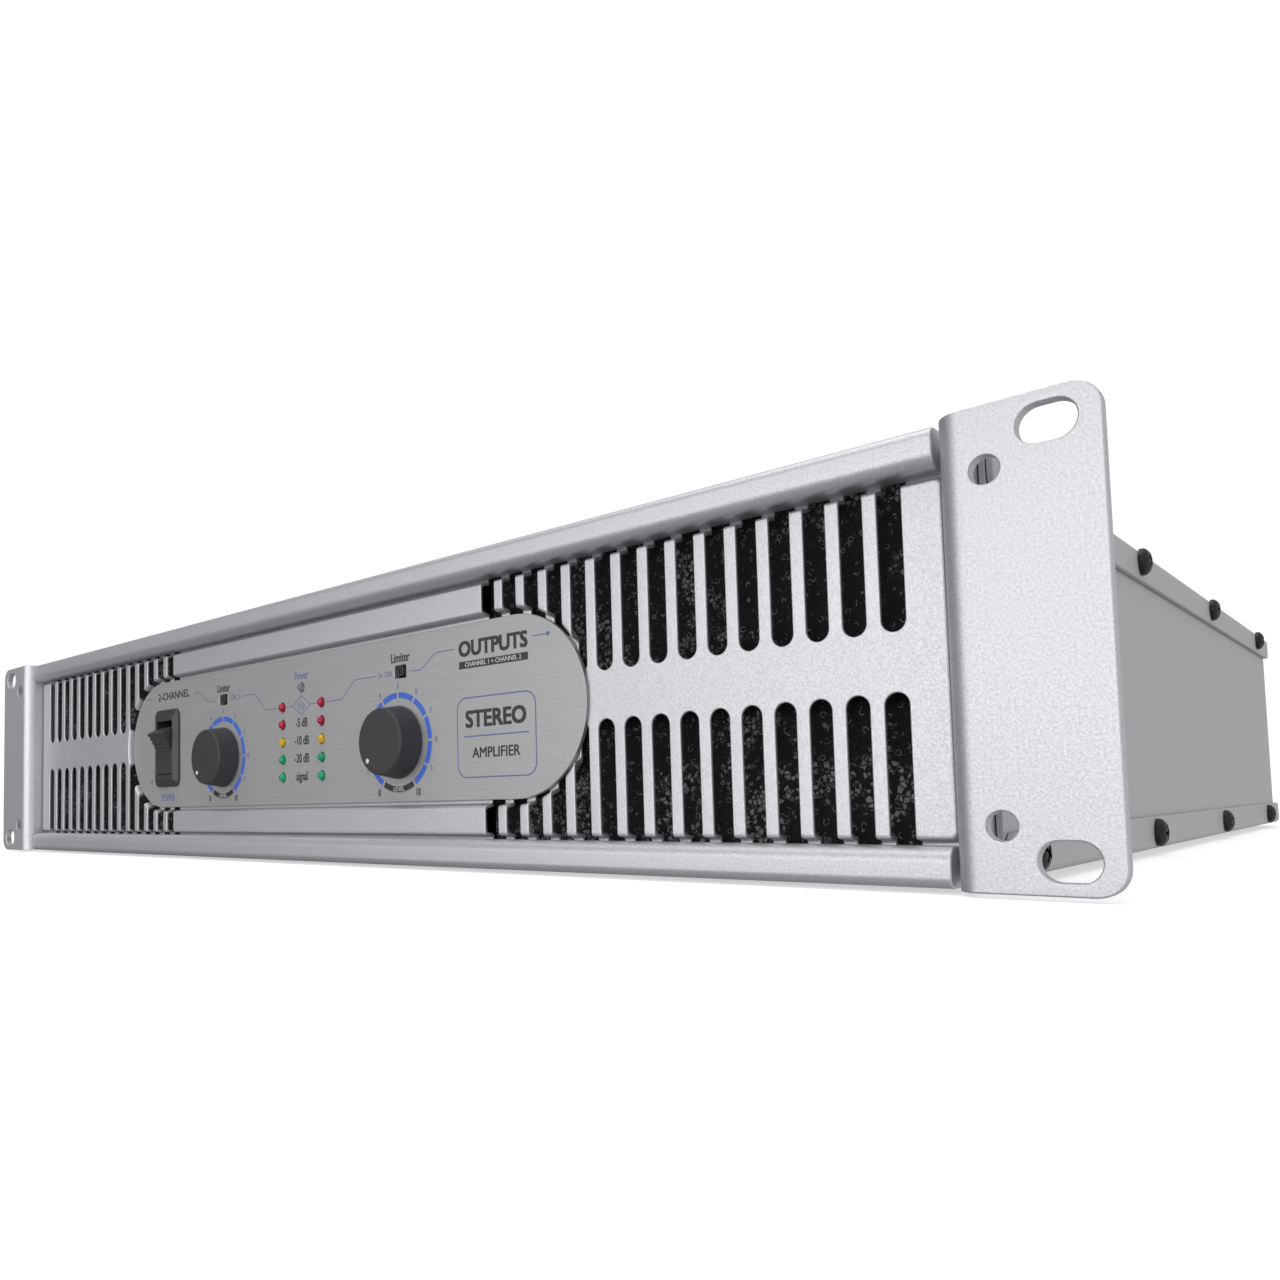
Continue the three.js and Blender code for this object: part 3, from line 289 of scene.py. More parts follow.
SILVER = (0.66, 0.655, 0.685)
GREY = (0.50, 0.497, 0.512)
LOOKS = {
    "silver": (speckled("silver_paint", SILVER, 0.5, 0.10, 0.47, 0.04, 0.04, Metallic=0.75), "silver_paint"),
    "grey": (speckled("grey_paint", GREY, 0.4, 0.05, 0.45, 0.02, 0.05, Metallic=0.15), "grey_paint"),
    "brushed": (brushed("brushed_plate", (0.47, 0.469, 0.475), 0.46, 14, 0.14, 0.1, 0.5), "brushed_plate"),
    "steel": (brushed("plain_steel", (0.56, 0.56, 0.57), 0.34, 8, 0.25), "plain_steel"),
    "aluminium": (brushed("bare_aluminium", (0.62, 0.62, 0.63), 0.4, 30, 0.4), "bare_aluminium"),
    "foam": (foam_material(), "filter_foam"),
    "black": (speckled("black_plastic", (0.030, 0.030, 0.033), 0.3, 0.2, 0.45, 0.02), "black_plastic"),
    "switch": (speckled("switch_plastic", (0.045, 0.044, 0.048), 0.3, 0.12, 0.42, 0.015), "black_plastic"),
    "knob": (speckled("knob_plastic", (0.040, 0.039, 0.0435), 0.25, 0.14, 0.5, 0.02), "knob_plastic"),
    "screw": (speckled("black_screw", (0.018, 0.018, 0.020), 0.4, 0.3, 0.32, 0.02, Metallic=0.5),
              "plain_steel"),
    "clear": (lens_material("clear_lens", (0.30, 0.31, 0.32), (0.16, 0.165, 0.17)), "clear_lens"),
    "red": (lens_material("red_lens", (0.52, 0.0, 0.04), (0.28, 0.0, 0.016)), "red_lens"),
    "yellow": (lens_material("yellow_lens", (0.80, 0.52, 0.0), (0.55, 0.33, 0.0)), "yellow_lens"),
    "green": (lens_material("green_lens", (0.0, 0.45, 0.18), (0.0, 0.26, 0.10)), "green_lens"),
    "blue_ink": (ink_material("blue_ink", (0.045, 0.15, 0.66)), "brushed_plate"),
    "faint_ink": (ink_material("faint_blue_ink", (0.13, 0.17, 0.33)), "brushed_plate"),
    "dark_ink": (ink_material("dark_ink", (0.022, 0.021, 0.024)), "brushed_plate"),
    "white_ink": (ink_material("white_ink", (0.78, 0.78, 0.78)), "brushed_plate"),
    "board": (board_material(), "circuit_board"),
    "tape": (wound_material(), "winding_tape"),
    "rubber": (speckled("pad_rubber", (0.02, 0.02, 0.02), 0.5, 0.2, 0.8, 0.03), "pad_rubber"),
    "sleeve": (speckled("capacitor_sleeve", (0.02, 0.04, 0.12), 0.6, 0.1, 0.3, 0.02), "capacitor_sleeve"),
}


# ---------------------------------------------------------------- making pieces
SHARP = math.radians(50)


def piece(name, vertices, faces, look, body="chassis", stands_for=(), bevel=0.0):
    """An object from millimetre vertices, with its look, on a body. bevel is the rounding of its edges."""
    mesh = bpy.data.meshes.new(name)
    places = [tuple(v) for v in np.asarray(vertices, float) * MM]
    mesh.from_pydata(places, [], [tuple(map(int, f)) for f in faces])
    work = bmesh.new()
    work.from_mesh(mesh)
    bmesh.ops.remove_doubles(work, verts=work.verts, dist=1e-7)
    bmesh.ops.recalc_face_normals(work, faces=work.faces)
    work.to_mesh(mesh)
    work.free()
    made = bpy.data.objects.new(name, mesh)
    bpy.context.scene.collection.objects.link(made)
    finish_piece(made, look, body, bevel)
    if stands_for:
        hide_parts(*stands_for)
    return made


def finish_piece(made, look, body, bevel=0.0):
    material, slot = LOOKS[look]
    made.data.materials.clear()
    made.data.materials.append(material)
    made.data.shade_smooth()
    made.data.set_sharp_from_angle(angle=SHARP)
    if bevel:
        rounding = made.modifiers.new("rounded_edges", "BEVEL")
        rounding.width = bevel * MM
        rounding.segments = 3
        rounding.limit_method = "ANGLE"
        rounding.angle_limit = math.radians(35)
    made.modifiers.new("even_shading", "WEIGHTED_NORMAL").keep_sharp = True
    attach(made, body)


def dress(node, look, bevel):
    """Gives a CAD node a finish: welds its split corners, rounds its edges and sets its material."""
    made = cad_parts[node]
    made.modifiers.new("weld", "WELD").merge_threshold = 1e-6
    rounding = made.modifiers.new("rounded_edges", "BEVEL")
    rounding.width = bevel * MM
    rounding.segments = 2
    rounding.limit_method = "ANGLE"
    rounding.angle_limit = math.radians(40)
    made.modifiers.new("even_shading", "WEIGHTED_NORMAL")
    made.data.materials.clear()
    made.data.materials.append(LOOKS[look][0])


def value(amount, points):
    """A number, or what a function gives at each point."""
    return amount(points) if callable(amount) else np.full(len(points), float(amount))


def closed(front, back, triangles):
    """A closed body: the same triangles on its front and back vertices, with walls round their border."""
    count = len(front)
    directed = {(a, b) for t in triangles for a, b in zip(t, t[1:] + t[:1])}
    walls = [(b, a, a + count, b + count) for a, b in directed if (b, a) not in directed]
    turned = [(c + count, b + count, a + count) for a, b, c in triangles]
    return np.vstack([front, back]), [*triangles, *turned, *walls]


def thicken(flat, triangles, place, front, back):
    """A closed body from flat triangles placed at the front and at the back depth."""
    used, triangles = np.unique(triangles, return_inverse=True)
    flat = flat[used]
    return closed(place(flat, front[used]), place(flat, back[used]), triangles.reshape(-1, 3).tolist())


class Round:
    """A rounded rectangle in a flat plane: centre, half sizes and corner radius."""

    def __init__(self, u, v, half_u, half_v, radius):
        self.centre = np.array([u, v], float)
        self.half = np.array([half_u, half_v], float)
        self.radius = min(radius, half_u, half_v)

    def outline(self, grow=0.0):
        """Its points, anticlockwise, moved outwards by grow."""
        radius = max(self.radius + grow, 0.01)
        core = self.half + grow - radius
        steps = max(2, round(4.5 * math.sqrt(radius)))
        points = []
        for quarter, corner in enumerate([(1, 1), (-1, 1), (-1, -1), (1, -1)]):
            for step in range(steps + 1):
                angle = (quarter + step / steps) * math.pi / 2
                point = self.centre + core * corner + radius * np.array([math.cos(angle), math.sin(angle)])
                if not points or np.abs(points[-1] - point).max() > 1e-3:
                    points.append(point)
        return points if np.abs(points[0] - points[-1]).max() > 1e-3 else points[:-1]

    def distance(self, points):
        """How far points are outside it, negative inside."""
        past = np.abs(points - self.centre) - (self.half - self.radius)
        return np.linalg.norm(np.maximum(past, 0), axis=1) + np.minimum(past.max(axis=1), 0) - self.radius


def circle(u, v, radius):
    return Round(u, v, radius, radius, radius)


def reach(points, outer, holes):
    """How far inside the material each point is, negative where there is none."""
    inside = -np.min([shape.distance(points) for shape in outer], axis=0)
    return np.min([inside, *(hole.distance(points) for hole in holes)], axis=0)


def fallen(inside, edge):
    """How far a rounded edge has fallen back at a distance inside it."""
    share = np.clip(1 - inside / edge, 0, 1)
    return edge * (1 - np.sqrt(1 - share * share))


def plate(outer, holes, place, front, back, edge=0.3, lines=()):
    """A sheet with rounded front edges. front and back are depths, which may vary over it; lines are extra
    closed outlines that the mesh follows where its depth changes."""
    rings = [shape.outline(-edge * share) for shape in outer for share in (0, 0.12, 0.5, 1)]
    rings += [hole.outline(edge * share) for hole in holes for share in (0, 0.12, 0.5, 1)]
    rings += lines
    points = [Vector(point) for ring in rings for point in ring]
    edges = []
    first = 0
    for ring in rings:
        edges += [(first + i, first + (i + 1) % len(ring)) for i in range(len(ring))]
        first += len(ring)
    found = delaunay_2d_cdt(points, edges, [], 0, 1e-4)
    flat = np.array([tuple(point) for point in found[0]])
    triangles = np.array(found[2])
    kept = reach(flat[triangles].mean(axis=1), outer, holes) > 0
    fronts = value(front, flat) + fallen(np.maximum(reach(flat, outer, holes), 0), edge)
    return thicken(flat, triangles[kept], place, fronts, value(back, flat))


def facing_front(points, depth):
    return np.column_stack([points[:, 0], FRONT + depth, points[:, 1]])


def arc(u, v, radius, start, end, steps):
    """Points round a centre, from one angle in degrees to another."""
    angles = np.radians(np.linspace(start, end, steps + 1))
    return [(u + radius * math.cos(a), v + radius * math.sin(a)) for a in angles]


def prism(outline, place, low, high):
    """A straight piece with one outline all along; place puts (outline points, distance) in the frame."""
    flat = np.array(outline, float)
    count = len(flat)
    vertices = np.vstack([place(flat, low), place(flat, high)])
    sides = [(i, (i + 1) % count, (i + 1) % count + count, i + count) for i in range(count)]
    return vertices, [tuple(range(count)), tuple(range(2 * count - 1, count - 1, -1)), *sides]


def lathe(profile, centre, along="y", segments=48):
    """A turned piece: profile points are (radius, distance along the axis through centre)."""
    vertices = []
    for radius, distance in profile:
        for step in range(segments):
            angle = 2 * math.pi * step / segments
            across = (radius * math.cos(angle), radius * math.sin(angle))
            if along == "y":
                vertices.append((centre[0] + across[0], distance, centre[2] + across[1]))
            elif along == "x":
                vertices.append((distance, centre[1] + across[0], centre[2] + across[1]))
            else:
                vertices.append((centre[0] + across[0], centre[1] + across[1], distance))
    faces = []
    for ring in range(len(profile) - 1):
        for step in range(segments):
            turn = (step + 1) % segments
            start, end = ring * segments, (ring + 1) * segments
            faces.append((start + step, start + turn, end + turn, end + step))
    return vertices, faces


def merged(*bodies):
    """Several bodies as one list of vertices and faces."""
    vertices, faces = [], []
    for points, found in bodies:
        first = len(vertices)
        vertices += [tuple(point) for point in points]
        faces += [tuple(first + index for index in face) for face in found]
    return vertices, faces


# ---------------------------------------------------------------- rack ears and rails
EAR_SHEET = 2.5
EAR_BEND = 4.5
EAR_CORNER = 5.0
EAR_EDGE = 0.35
RACK_SLOT = {"x": 232.55, "z": 38.1, "half_length": 5.0, "half_height": 3.55}
EAR_HOLE = {"x": 222.0, "z": 32.0, "radius": 2.65}
EAR_FLANGE = {"full_until": 9.0, "low": 2.9, "high": 84.1, "corner": 2.0}


def ear_place(side, inner, outer):
    """Wraps the flat sheet round the bend: u runs from the ear's outer edge inwards, then back."""
    flat = outer - inner - EAR_BEND
    curve = EAR_BEND * math.pi / 2

    def place(points, depth):
        u = points[:, 0]
        angle = np.clip((u - flat) / EAR_BEND, 0, math.pi / 2)
        radius = EAR_BEND - depth
        x = outer - np.minimum(u, flat) - radius * np.sin(angle)
        y = EAR_BEND - radius * np.cos(angle) + np.maximum(u - flat - curve, 0)
        return np.column_stack([side * x, FRONT + y, points[:, 1]])

    return place, flat, curve


def make_ear(name, side):
    low, high = span("right_rack_ear")
    inner, outer, height = low[0], high[0], high[2]
    place, flat, curve = ear_place(side, inner, outer)
    end = flat + curve + at_depth(high[1]) - EAR_BEND
    full = flat + curve + EAR_FLANGE["full_until"] - EAR_BEND
    middle_z = height / 2
    half_flange = (EAR_FLANGE["high"] - EAR_FLANGE["low"]) / 2
    shapes = [
        Round(full / 2, middle_z, full / 2, middle_z, EAR_CORNER),
        Round((full + end) / 2 - 4, EAR_FLANGE["low"] + half_flange, (end - full) / 2 + 4, half_flange,
              EAR_FLANGE["corner"]),
    ]
    holes = []
    for way in (-1, 1):
        z = middle_z + way * RACK_SLOT["z"]
        holes.append(Round(outer - RACK_SLOT["x"], z, RACK_SLOT["half_length"], RACK_SLOT["half_height"], 9))
        holes.append(circle(outer - EAR_HOLE["x"], middle_z + way * EAR_HOLE["z"], EAR_HOLE["radius"]))
    bends = [[(flat + curve * i / 10, -1), (flat + curve * i / 10, height + 1)] for i in range(11)]
    vertices, faces = plate(shapes, holes, place, 0.0, EAR_SHEET, EAR_EDGE, bends)
    piece(f"{name}_ear_bracket", vertices, faces, "silver", stands_for=[f"{name}_rack_ear"])


RAIL_OUTER_RADIUS = 2.2
RAIL_INNER_RADIUS = 3.0


def make_rail(node, outwards):
    low, high = span(node)
    front, back = at_depth(low[1]), at_depth(high[1])
    rim, lip = (high[2], low[2]) if outwards > 0 else (low[2], high[2])
    section = [(back, rim)]
    section += arc(front + RAIL_OUTER_RADIUS, rim - outwards * RAIL_OUTER_RADIUS, RAIL_OUTER_RADIUS,
                   90 * outwards, 180 * outwards, 8)
    section += arc(front + RAIL_INNER_RADIUS, lip + outwards * RAIL_INNER_RADIUS, RAIL_INNER_RADIUS,
                   180 * outwards, 270 * outwards, 8)
    section += [(back, lip)]

    def place(points, x):
        return np.column_stack([np.full(len(points), x), FRONT + points[:, 0], points[:, 1]])

    vertices, faces = prism(section, place, low[0], high[0])
    piece(f"{node}_bar", vertices, faces, "silver", stands_for=[node], bevel=0.35)


# ---------------------------------------------------------------- grille panel and foam
SHEET = 0.65
GRILLE_BASE = 10.0
FIELD = Round(0, 44, 212, 34.9, 1.5)
FIELD_DEPTH = 7.1
PLATE_CORNER = 25.0
POCKET_MARGIN = 1.5
ROUND_OVER = 0.9
FOOT_RADIUS = 0.6
SLOPE = 0.25
SLOTS_PER_ROW = 15
SLOT_PITCH = 8.05
SLOT_FIRST = 88.7
SLOT_HALF_WIDTH = 2.5
SLOT_INNER = 6.05
SLOT_OUTER = 38.5


def pill(margin=0.0):
    centre, half = halves("control_plate")
    return Round(centre[0], centre[2], half[0] + margin, half[2] + margin, PLATE_CORNER + margin)


def pressed(inside, drop):
    """The fall of the pressed field by how far inside it a point is: flat, a round, a slope and a foot."""
    top = fallen(np.clip(inside, 0, ROUND_OVER), ROUND_OVER)
    foot = np.clip(inside + SLOPE + FOOT_RADIUS, 0, FOOT_RADIUS)
    low = drop - (FOOT_RADIUS - np.sqrt(FOOT_RADIUS**2 - foot**2))
    slope = ROUND_OVER + (drop - FOOT_RADIUS - ROUND_OVER) * np.clip(-inside / SLOPE, 0, 1)
    return np.where(inside >= 0, top, np.where(inside > -SLOPE, slope, low))


def grille_slots():
    shapes = []
    for side in (-1, 1):
        for way in (-1, 1):
            for i in range(SLOTS_PER_ROW):
                z = FIELD.centre[1] + way * (SLOT_INNER + SLOT_OUTER) / 2
                half = (SLOT_OUTER - SLOT_INNER) / 2
                x = side * (SLOT_FIRST + i * SLOT_PITCH)
                shapes.append(Round(x, z, SLOT_HALF_WIDTH, half, SLOT_HALF_WIDTH))
    return shapes


def switch_cutout(margin=0.3):
    centre = middle("power_switch_housing")
    return Round(centre[0], centre[2], SWITCH_BODY[0] + margin, SWITCH_BODY[1] + margin, 0.5)


def make_grille():
    low, high = span("front_grille_panel")
    drop = GRILLE_BASE - FIELD_DEPTH
    pocket = pill(POCKET_MARGIN)
    outer = [Round(0, (low[2] + high[2]) / 2, high[0], (high[2] - low[2]) / 2, 1)]
    holes = [*grille_slots(), switch_cutout(0.6), *control_holes(0.2)]

    def raised(points):
        return np.minimum(-FIELD.distance(points), pocket.distance(points))

    def front(points):
        return FIELD_DEPTH + pressed(raised(points), drop)

    def back(points):
        return FIELD_DEPTH + SHEET + pressed(raised(points) - SHEET, drop)

    steps = [ROUND_OVER * s for s in (1, 0.7, 0.4, 0.15, 0)]
    steps += [-SLOPE - FOOT_RADIUS * s for s in (0, 0.15, 0.5, 1)]
    lines = [FIELD.outline(-step) for step in steps] + [pocket.outline(step) for step in steps]
    lines += [FIELD.outline(-step - SHEET) for step in (ROUND_OVER, 0, -SLOPE)]
    lines += [pocket.outline(step + SHEET) for step in (ROUND_OVER, 0, -SLOPE)]
    vertices, faces = plate(outer, holes, facing_front, front, back, 0.3, lines)
    piece("grille_panel", vertices, faces, "silver", stands_for=["front_grille_panel"])


FOAM_CELL = 0.9
FOAM_ROUGHNESS = 0.7


def make_foam(name):
    node = f"{name}_foam_filter"
    low, high = span(node)
    columns = round((high[0] - low[0]) / FOAM_CELL)
    rows = round((high[2] - low[2]) / FOAM_CELL)
    xs, zs = np.linspace(low[0], high[0], columns + 1), np.linspace(low[2], high[2], rows + 1)
    cutout = switch_cutout(2.0)
    flat = np.array([(x, z) for z in zs for x in xs])
    front = np.array([at_depth(low[1]) + 0.1 + FOAM_ROUGHNESS * (1 + noise.noise((x / 1.7, 0, z / 1.7))) / 2
                      + FOAM_ROUGHNESS * abs(noise.noise((x / 0.8, 7, z / 0.8))) for x, z in flat])
    triangles = []
    for row in range(rows):
        for column in range(columns):
            corner = row * (columns + 1) + column
            above = corner + columns + 1
            if cutout.distance(flat[corner:corner + 1])[0] > 0:
                triangles += [(corner, corner + 1, above + 1), (corner, above + 1, above)]
    back = np.full(len(flat), at_depth(high[1]))
    vertices, faces = thicken(flat, np.array(triangles), facing_front, front, back)
    foam = piece(f"{name}_filter_pad", vertices, faces, "foam", stands_for=[node])


# ---------------------------------------------------------------- control plate and its controls
LED_HOLE = 1.65
KNOB_HOLE = 4.5
WINDOW = (2.6, 1.9)
SWITCH_BODY = (8.6, 13.4)
ROCKER_WINDOW = (6.1, 10.6)
LAMP_ROWS = [("red", 52), ("red", 46), ("yellow", 40), ("green", 34), ("green", 28)]
LAMP_RADIUS = 1.5


def lamp_places():
    """Each lamp's name, colour and place; the power lamp is clear."""
    power = middle("power_led")
    low, high = span("green_leds")
    column = (high[0] - low[0]) / 2 - LAMP_RADIUS
    places = [("power_lamp", "clear", power[0], power[2])]
    for row, (colour, z) in enumerate(LAMP_ROWS):
        for channel, side in CHANNELS.items():
            places.append((f"{colour}_lamp_{row + 1}_{channel}", colour, power[0] + side * column, z))
    return places


def control_holes(margin=0.0):
    """The holes for lamps, knob shafts and limiters, through the plate and the grille panel behind it."""
    holes = [circle(x, z, LED_HOLE + margin) for _, _, x, z in lamp_places()]
    for channel in CHANNELS:
        knob, limiter = middle(f"level_knob_{channel}"), middle(f"limiter_switch_{channel}")
        holes.append(circle(knob[0], knob[2], KNOB_HOLE + margin))
        holes.append(Round(limiter[0], limiter[2], WINDOW[0] + margin, WINDOW[1] + margin, 0.3))
    return holes


def make_control_plate():
    low, high = span("control_plate")
    holes = [switch_cutout(), *control_holes()]
    vertices, faces = plate([pill()], holes, facing_front, at_depth(low[1]), at_depth(high[1]), 0.25)
    piece("control_panel_plate", vertices, faces, "brushed", stands_for=["control_plate"])


def make_lamps():
    low, high = span("power_led")
    tip, back = low[1], high[1]
    stands_for = {"clear": "power_led", "red": "red_leds", "yellow": "yellow_leds", "green": "green_leds"}
    for name, colour, x, z in lamp_places():
        profile = [(LAMP_RADIUS * math.sin(a), tip + LAMP_RADIUS * (1 - math.cos(a)))
                   for a in np.linspace(0, math.pi / 2, 9)]
        profile += [(LAMP_RADIUS, back), (0, back)]
        vertices, faces = lathe(profile, (x, 0, z), segments=24)
        node = stands_for.pop(colour, None)
        piece(name, vertices, faces, colour, stands_for=[node] if node else [])


KNOB_TAPER = 1.0
KNOB_EDGE = 0.7
KNOB_SKIRT = 1.4
KNOB_HOLLOW = 4.0
KNOB_COLLAR = 3.2
KNOB_BORE = 3.05
KNOB_FACE = 1.3
DOT_ANGLE = math.radians(225)
DOT_RADIUS = 0.75
DOT_CIRCLE = 7.9


def make_knob(channel):
    node = f"level_knob_{channel}"
    low, high = span(node)
    centre = (low + high) / 2
    base_radius = (high[0] - low[0]) / 2
    front_radius = base_radius - KNOB_TAPER
    front, back = low[1], high[1]
    profile = [(0, front), (front_radius * 0.5, front)]
    profile += [(front_radius - KNOB_EDGE + KNOB_EDGE * math.sin(a), front + KNOB_EDGE * (1 - math.cos(a)))
                for a in np.linspace(0, math.pi / 2, 7)]
    profile += [(base_radius - 0.08, back - 0.5), (base_radius, back - 0.25), (base_radius - 0.3, back)]
    inside = base_radius - KNOB_SKIRT
    profile += [(inside, back), (inside, back - KNOB_HOLLOW)]
    profile += [(KNOB_COLLAR, back - KNOB_HOLLOW), (KNOB_COLLAR, back)]
    profile += [(KNOB_BORE, back), (KNOB_BORE, front + KNOB_FACE), (0, front + KNOB_FACE)]
    vertices, faces = lathe(profile, centre, segments=96)
    body = f"knob_{channel}"
    piece(f"{node}_cap", vertices, faces, "knob", body, [node])
    place = (centre[0] + DOT_CIRCLE * math.cos(DOT_ANGLE), 0, centre[2] + DOT_CIRCLE * math.sin(DOT_ANGLE))
    dot = [(0, front - 0.04), (DOT_RADIUS - 0.06, front - 0.04), (DOT_RADIUS, front),
           (DOT_RADIUS, front + 0.2),
           (0, front + 0.2)]
    vertices, faces = lathe(dot, place, segments=24)
    piece(f"{node}_dot", vertices, faces, "white_ink", body)
    dress(f"level_shaft_{channel}", "steel", 0.2)
    dress(f"level_pot_{channel}", "steel", 0.2)


BEZEL_EDGE_DEPTH = 7.7
BEZEL_SLOPE = 2.7
BEZEL_CORNER = 3.0


def make_power_switch():
    low, high = span("power_switch_housing")
    centre, half = halves("power_switch_housing")
    front = at_depth(low[1])
    plate_depth = at_depth(span("control_plate")[0][1])
    rim = Round(centre[0], centre[2], half[0], half[2], BEZEL_CORNER)
    window = Round(centre[0], centre[2], *ROCKER_WINDOW, 0.6)
    body = Round(centre[0], centre[2], *SWITCH_BODY, 1)

    def face(points):
        inside = np.clip(-rim.distance(points), 0, BEZEL_SLOPE)
        return BEZEL_EDGE_DEPTH - (BEZEL_EDGE_DEPTH - front) * inside / BEZEL_SLOPE

    def back(points):
        return np.where(body.distance(points) < -0.01, at_depth(high[1]) - 12, plate_depth - 0.05)

    lines = [rim.outline(-BEZEL_SLOPE), rim.outline(-BEZEL_SLOPE * 0.5), body.outline(0), body.outline(-0.05)]
    vertices, faces = plate([rim], [window], facing_front, face, back, 0.35, lines)
    piece("power_switch_bezel", vertices, faces, "switch", stands_for=["power_switch_housing"])
    make_rocker(centre)


ROCKER_PIVOT = 13.8
ROCKER_REST = math.radians(14.5)
GRIPS = 4
GRIP_DEPTH = 0.35


def rocker_outline():
    """Side view halfway between the two positions, as (depth, height) from the pivot."""
    tip, heel = np.array((-9.5, 8.0)), np.array((-7.2, 0.0))
    upper = [heel * (1 - s) + tip * s for s in np.linspace(0.1, 0.96, GRIPS * 4 + 1)]
    grips = [(d + GRIP_DEPTH * (i % 4 in (1, 2)), h) for i, (d, h) in enumerate(upper)]
    upper_half = [(-4.6, 9.35), (0, 9.5), (3.5, 5)]
    lower_half = [(d, -h) for d, h in reversed(upper_half)]
    lower_face = [(-9.2, -8.5), (-9.5, -8.0), (-7.2, 0)]
    return [*grips, (-9.5, 8.0), (-9.2, 8.5), *upper_half, *lower_half, *lower_face]


def make_rocker(centre):
    cos, sin = math.cos(ROCKER_REST), math.sin(ROCKER_REST)
    turn = np.array([[cos, sin], [-sin, cos]])
    outline = np.array(rocker_outline()) @ turn + (ROCKER_PIVOT, centre[2])

    def place(points, x):
        return np.column_stack([np.full(len(points), x), FRONT + points[:, 0], points[:, 1]])

    low, high = span("power_switch_rocker")
    vertices, faces = prism(outline, place, low[0], high[0])
    piece("power_rocker", vertices, faces, "switch", "rocker", ["power_switch_rocker"], bevel=0.22)


def make_limiter(channel):
    node = f"limiter_slider_{channel}"
    low, high = span(node)
    centre, half = halves(node)
    nub = Round(centre[0], centre[2], half[0], half[2], 0.3)
    ribs = [Round(centre[0] + shift, centre[2], 0.2, half[2] - 0.4, 0.1) for shift in (-0.5, 0.5)]

    def face(points):
        groove = np.min([rib.distance(points) for rib in ribs], axis=0)
        return at_depth(low[1]) + 0.35 * (groove < 0.01)

    lines = [rib.outline(grow) for rib in ribs for grow in (0, 0.05)]
    vertices, faces = plate([nub], [], facing_front, face, at_depth(high[1]), 0.15, lines)
    piece(f"limiter_nub_{channel}", vertices, faces, "knob", f"limiter_{channel}", [node])
    dress(f"limiter_switch_{channel}", "black", 0.1)


# ---------------------------------------------------------------- printing
PRINT_THICKNESS = 0.02
CAPITAL_SHARE = 0.729          # height of a capital letter for a text size of 1
STRIKES = [(-1, -0.7), (1, -0.7), (-1, 0.7), (1, 0.7)]     # where heavy letters are printed again


def letters(text, height, stretch=1.0):
    """A line of text centred on the origin: flat points and triangles."""
    curve = bpy.data.curves.new("text", "FONT")
    curve.body = text
    curve.align_x, curve.align_y = "CENTER", "CENTER"
    curve.resolution_u = 3
    holder = bpy.data.objects.new("text", curve)
    bpy.context.scene.collection.objects.link(holder)
    mesh = holder.evaluated_get(bpy.context.evaluated_depsgraph_get()).to_mesh()
    mesh.calc_loop_triangles()
    points = np.array([(v.co.x * stretch, v.co.y) for v in mesh.vertices]) * height / CAPITAL_SHARE
    triangles = np.array([tuple(t.vertices) for t in mesh.loop_triangles])
    bpy.data.objects.remove(holder)
    bpy.data.curves.remove(curve)
    return points, triangles


def shifted(shape, u, v):
    points, triangles = shape
    return points + (u, v), triangles


def ribbon(path, width, closed=False):
    """A line of even width along a path: flat points and triangles."""
    kept = [point for i, point in enumerate(path) if i == 0 or math.dist(point, path[i - 1]) > 1e-6]
    path = np.array(kept, float)
    ahead = np.roll(path, -1, axis=0) - path
    if not closed:
        ahead[-1] = ahead[-2]
    behind = np.roll(ahead, 1, axis=0)
    if not closed:
        behind[0] = ahead[0]
    ahead /= np.linalg.norm(ahead, axis=1)[:, None]
    behind /= np.linalg.norm(behind, axis=1)[:, None]
    along = ahead + behind
    along /= np.linalg.norm(along, axis=1)[:, None]
    mitre = np.maximum((along * ahead).sum(axis=1), 0.5)
    across = np.column_stack([-along[:, 1], along[:, 0]]) / mitre[:, None]
    count = len(path)
    points = np.vstack([path - across * width / 2, path + across * width / 2])
    triangles = []
    for i in range(count if closed else count - 1):
        j = (i + 1) % count
        triangles += [(i, j, j + count), (i, j + count, i + count)]
    return points, np.array(triangles)


def band(u, v, inner, outer, start, end):
    """Part of a flat ring."""
    steps = max(2, round(abs(end - start) / 3))
    return ribbon(arc(u, v, (inner + outer) / 2, start, end, steps), outer - inner)


def swing(start, end, steps=12):
    """An S-shaped path that leaves and arrives level."""
    shares = np.linspace(0, 1, steps + 1)
    eased = shares * shares * (3 - 2 * shares)
    wide, tall = end[0] - start[0], end[1] - start[1]
    return [(start[0] + wide * s, start[1] + tall * e) for s, e in zip(shares, eased)]


class Print:
    """Ink of one colour on one face, gathered into one piece."""

    def __init__(self, name, look, place):
        self.name, self.look, self.place = name, look, place
        self.bodies = []

    def add(self, shape, at=(0.0, 0.0), lift=0.0):
        points, triangles = shape
        points = points + np.array(at)
        level = np.full(len(points), -lift)
        near, far = level - PRINT_THICKNESS, level + PRINT_THICKNESS
        self.bodies.append(thicken(points, triangles, self.place, near, far))

    def cover(self, points, triangles):
        """Ink printed over other ink."""
        level = np.zeros(len(points))
        self.bodies.append(thicken(points, triangles, self.place, level - 2 * PRINT_THICKNESS, level))

    def text(self, text, u, v, height, weight=0.0, stretch=1.0):
        """Letters; a weight prints them again a little to each side, for heavier strokes."""
        shape = letters(text, height, stretch)
        spread = weight * height
        for i, (right, up) in enumerate(STRIKES if weight else [(0, 0)]):
            self.add(shape, (u + right * spread, v + up * spread), i * PRINT_THICKNESS / 8)

    def line(self, path, width=0.3):
        self.add(ribbon(path, width))

    def make(self):
        piece(self.name, *merged(*self.bodies), self.look)


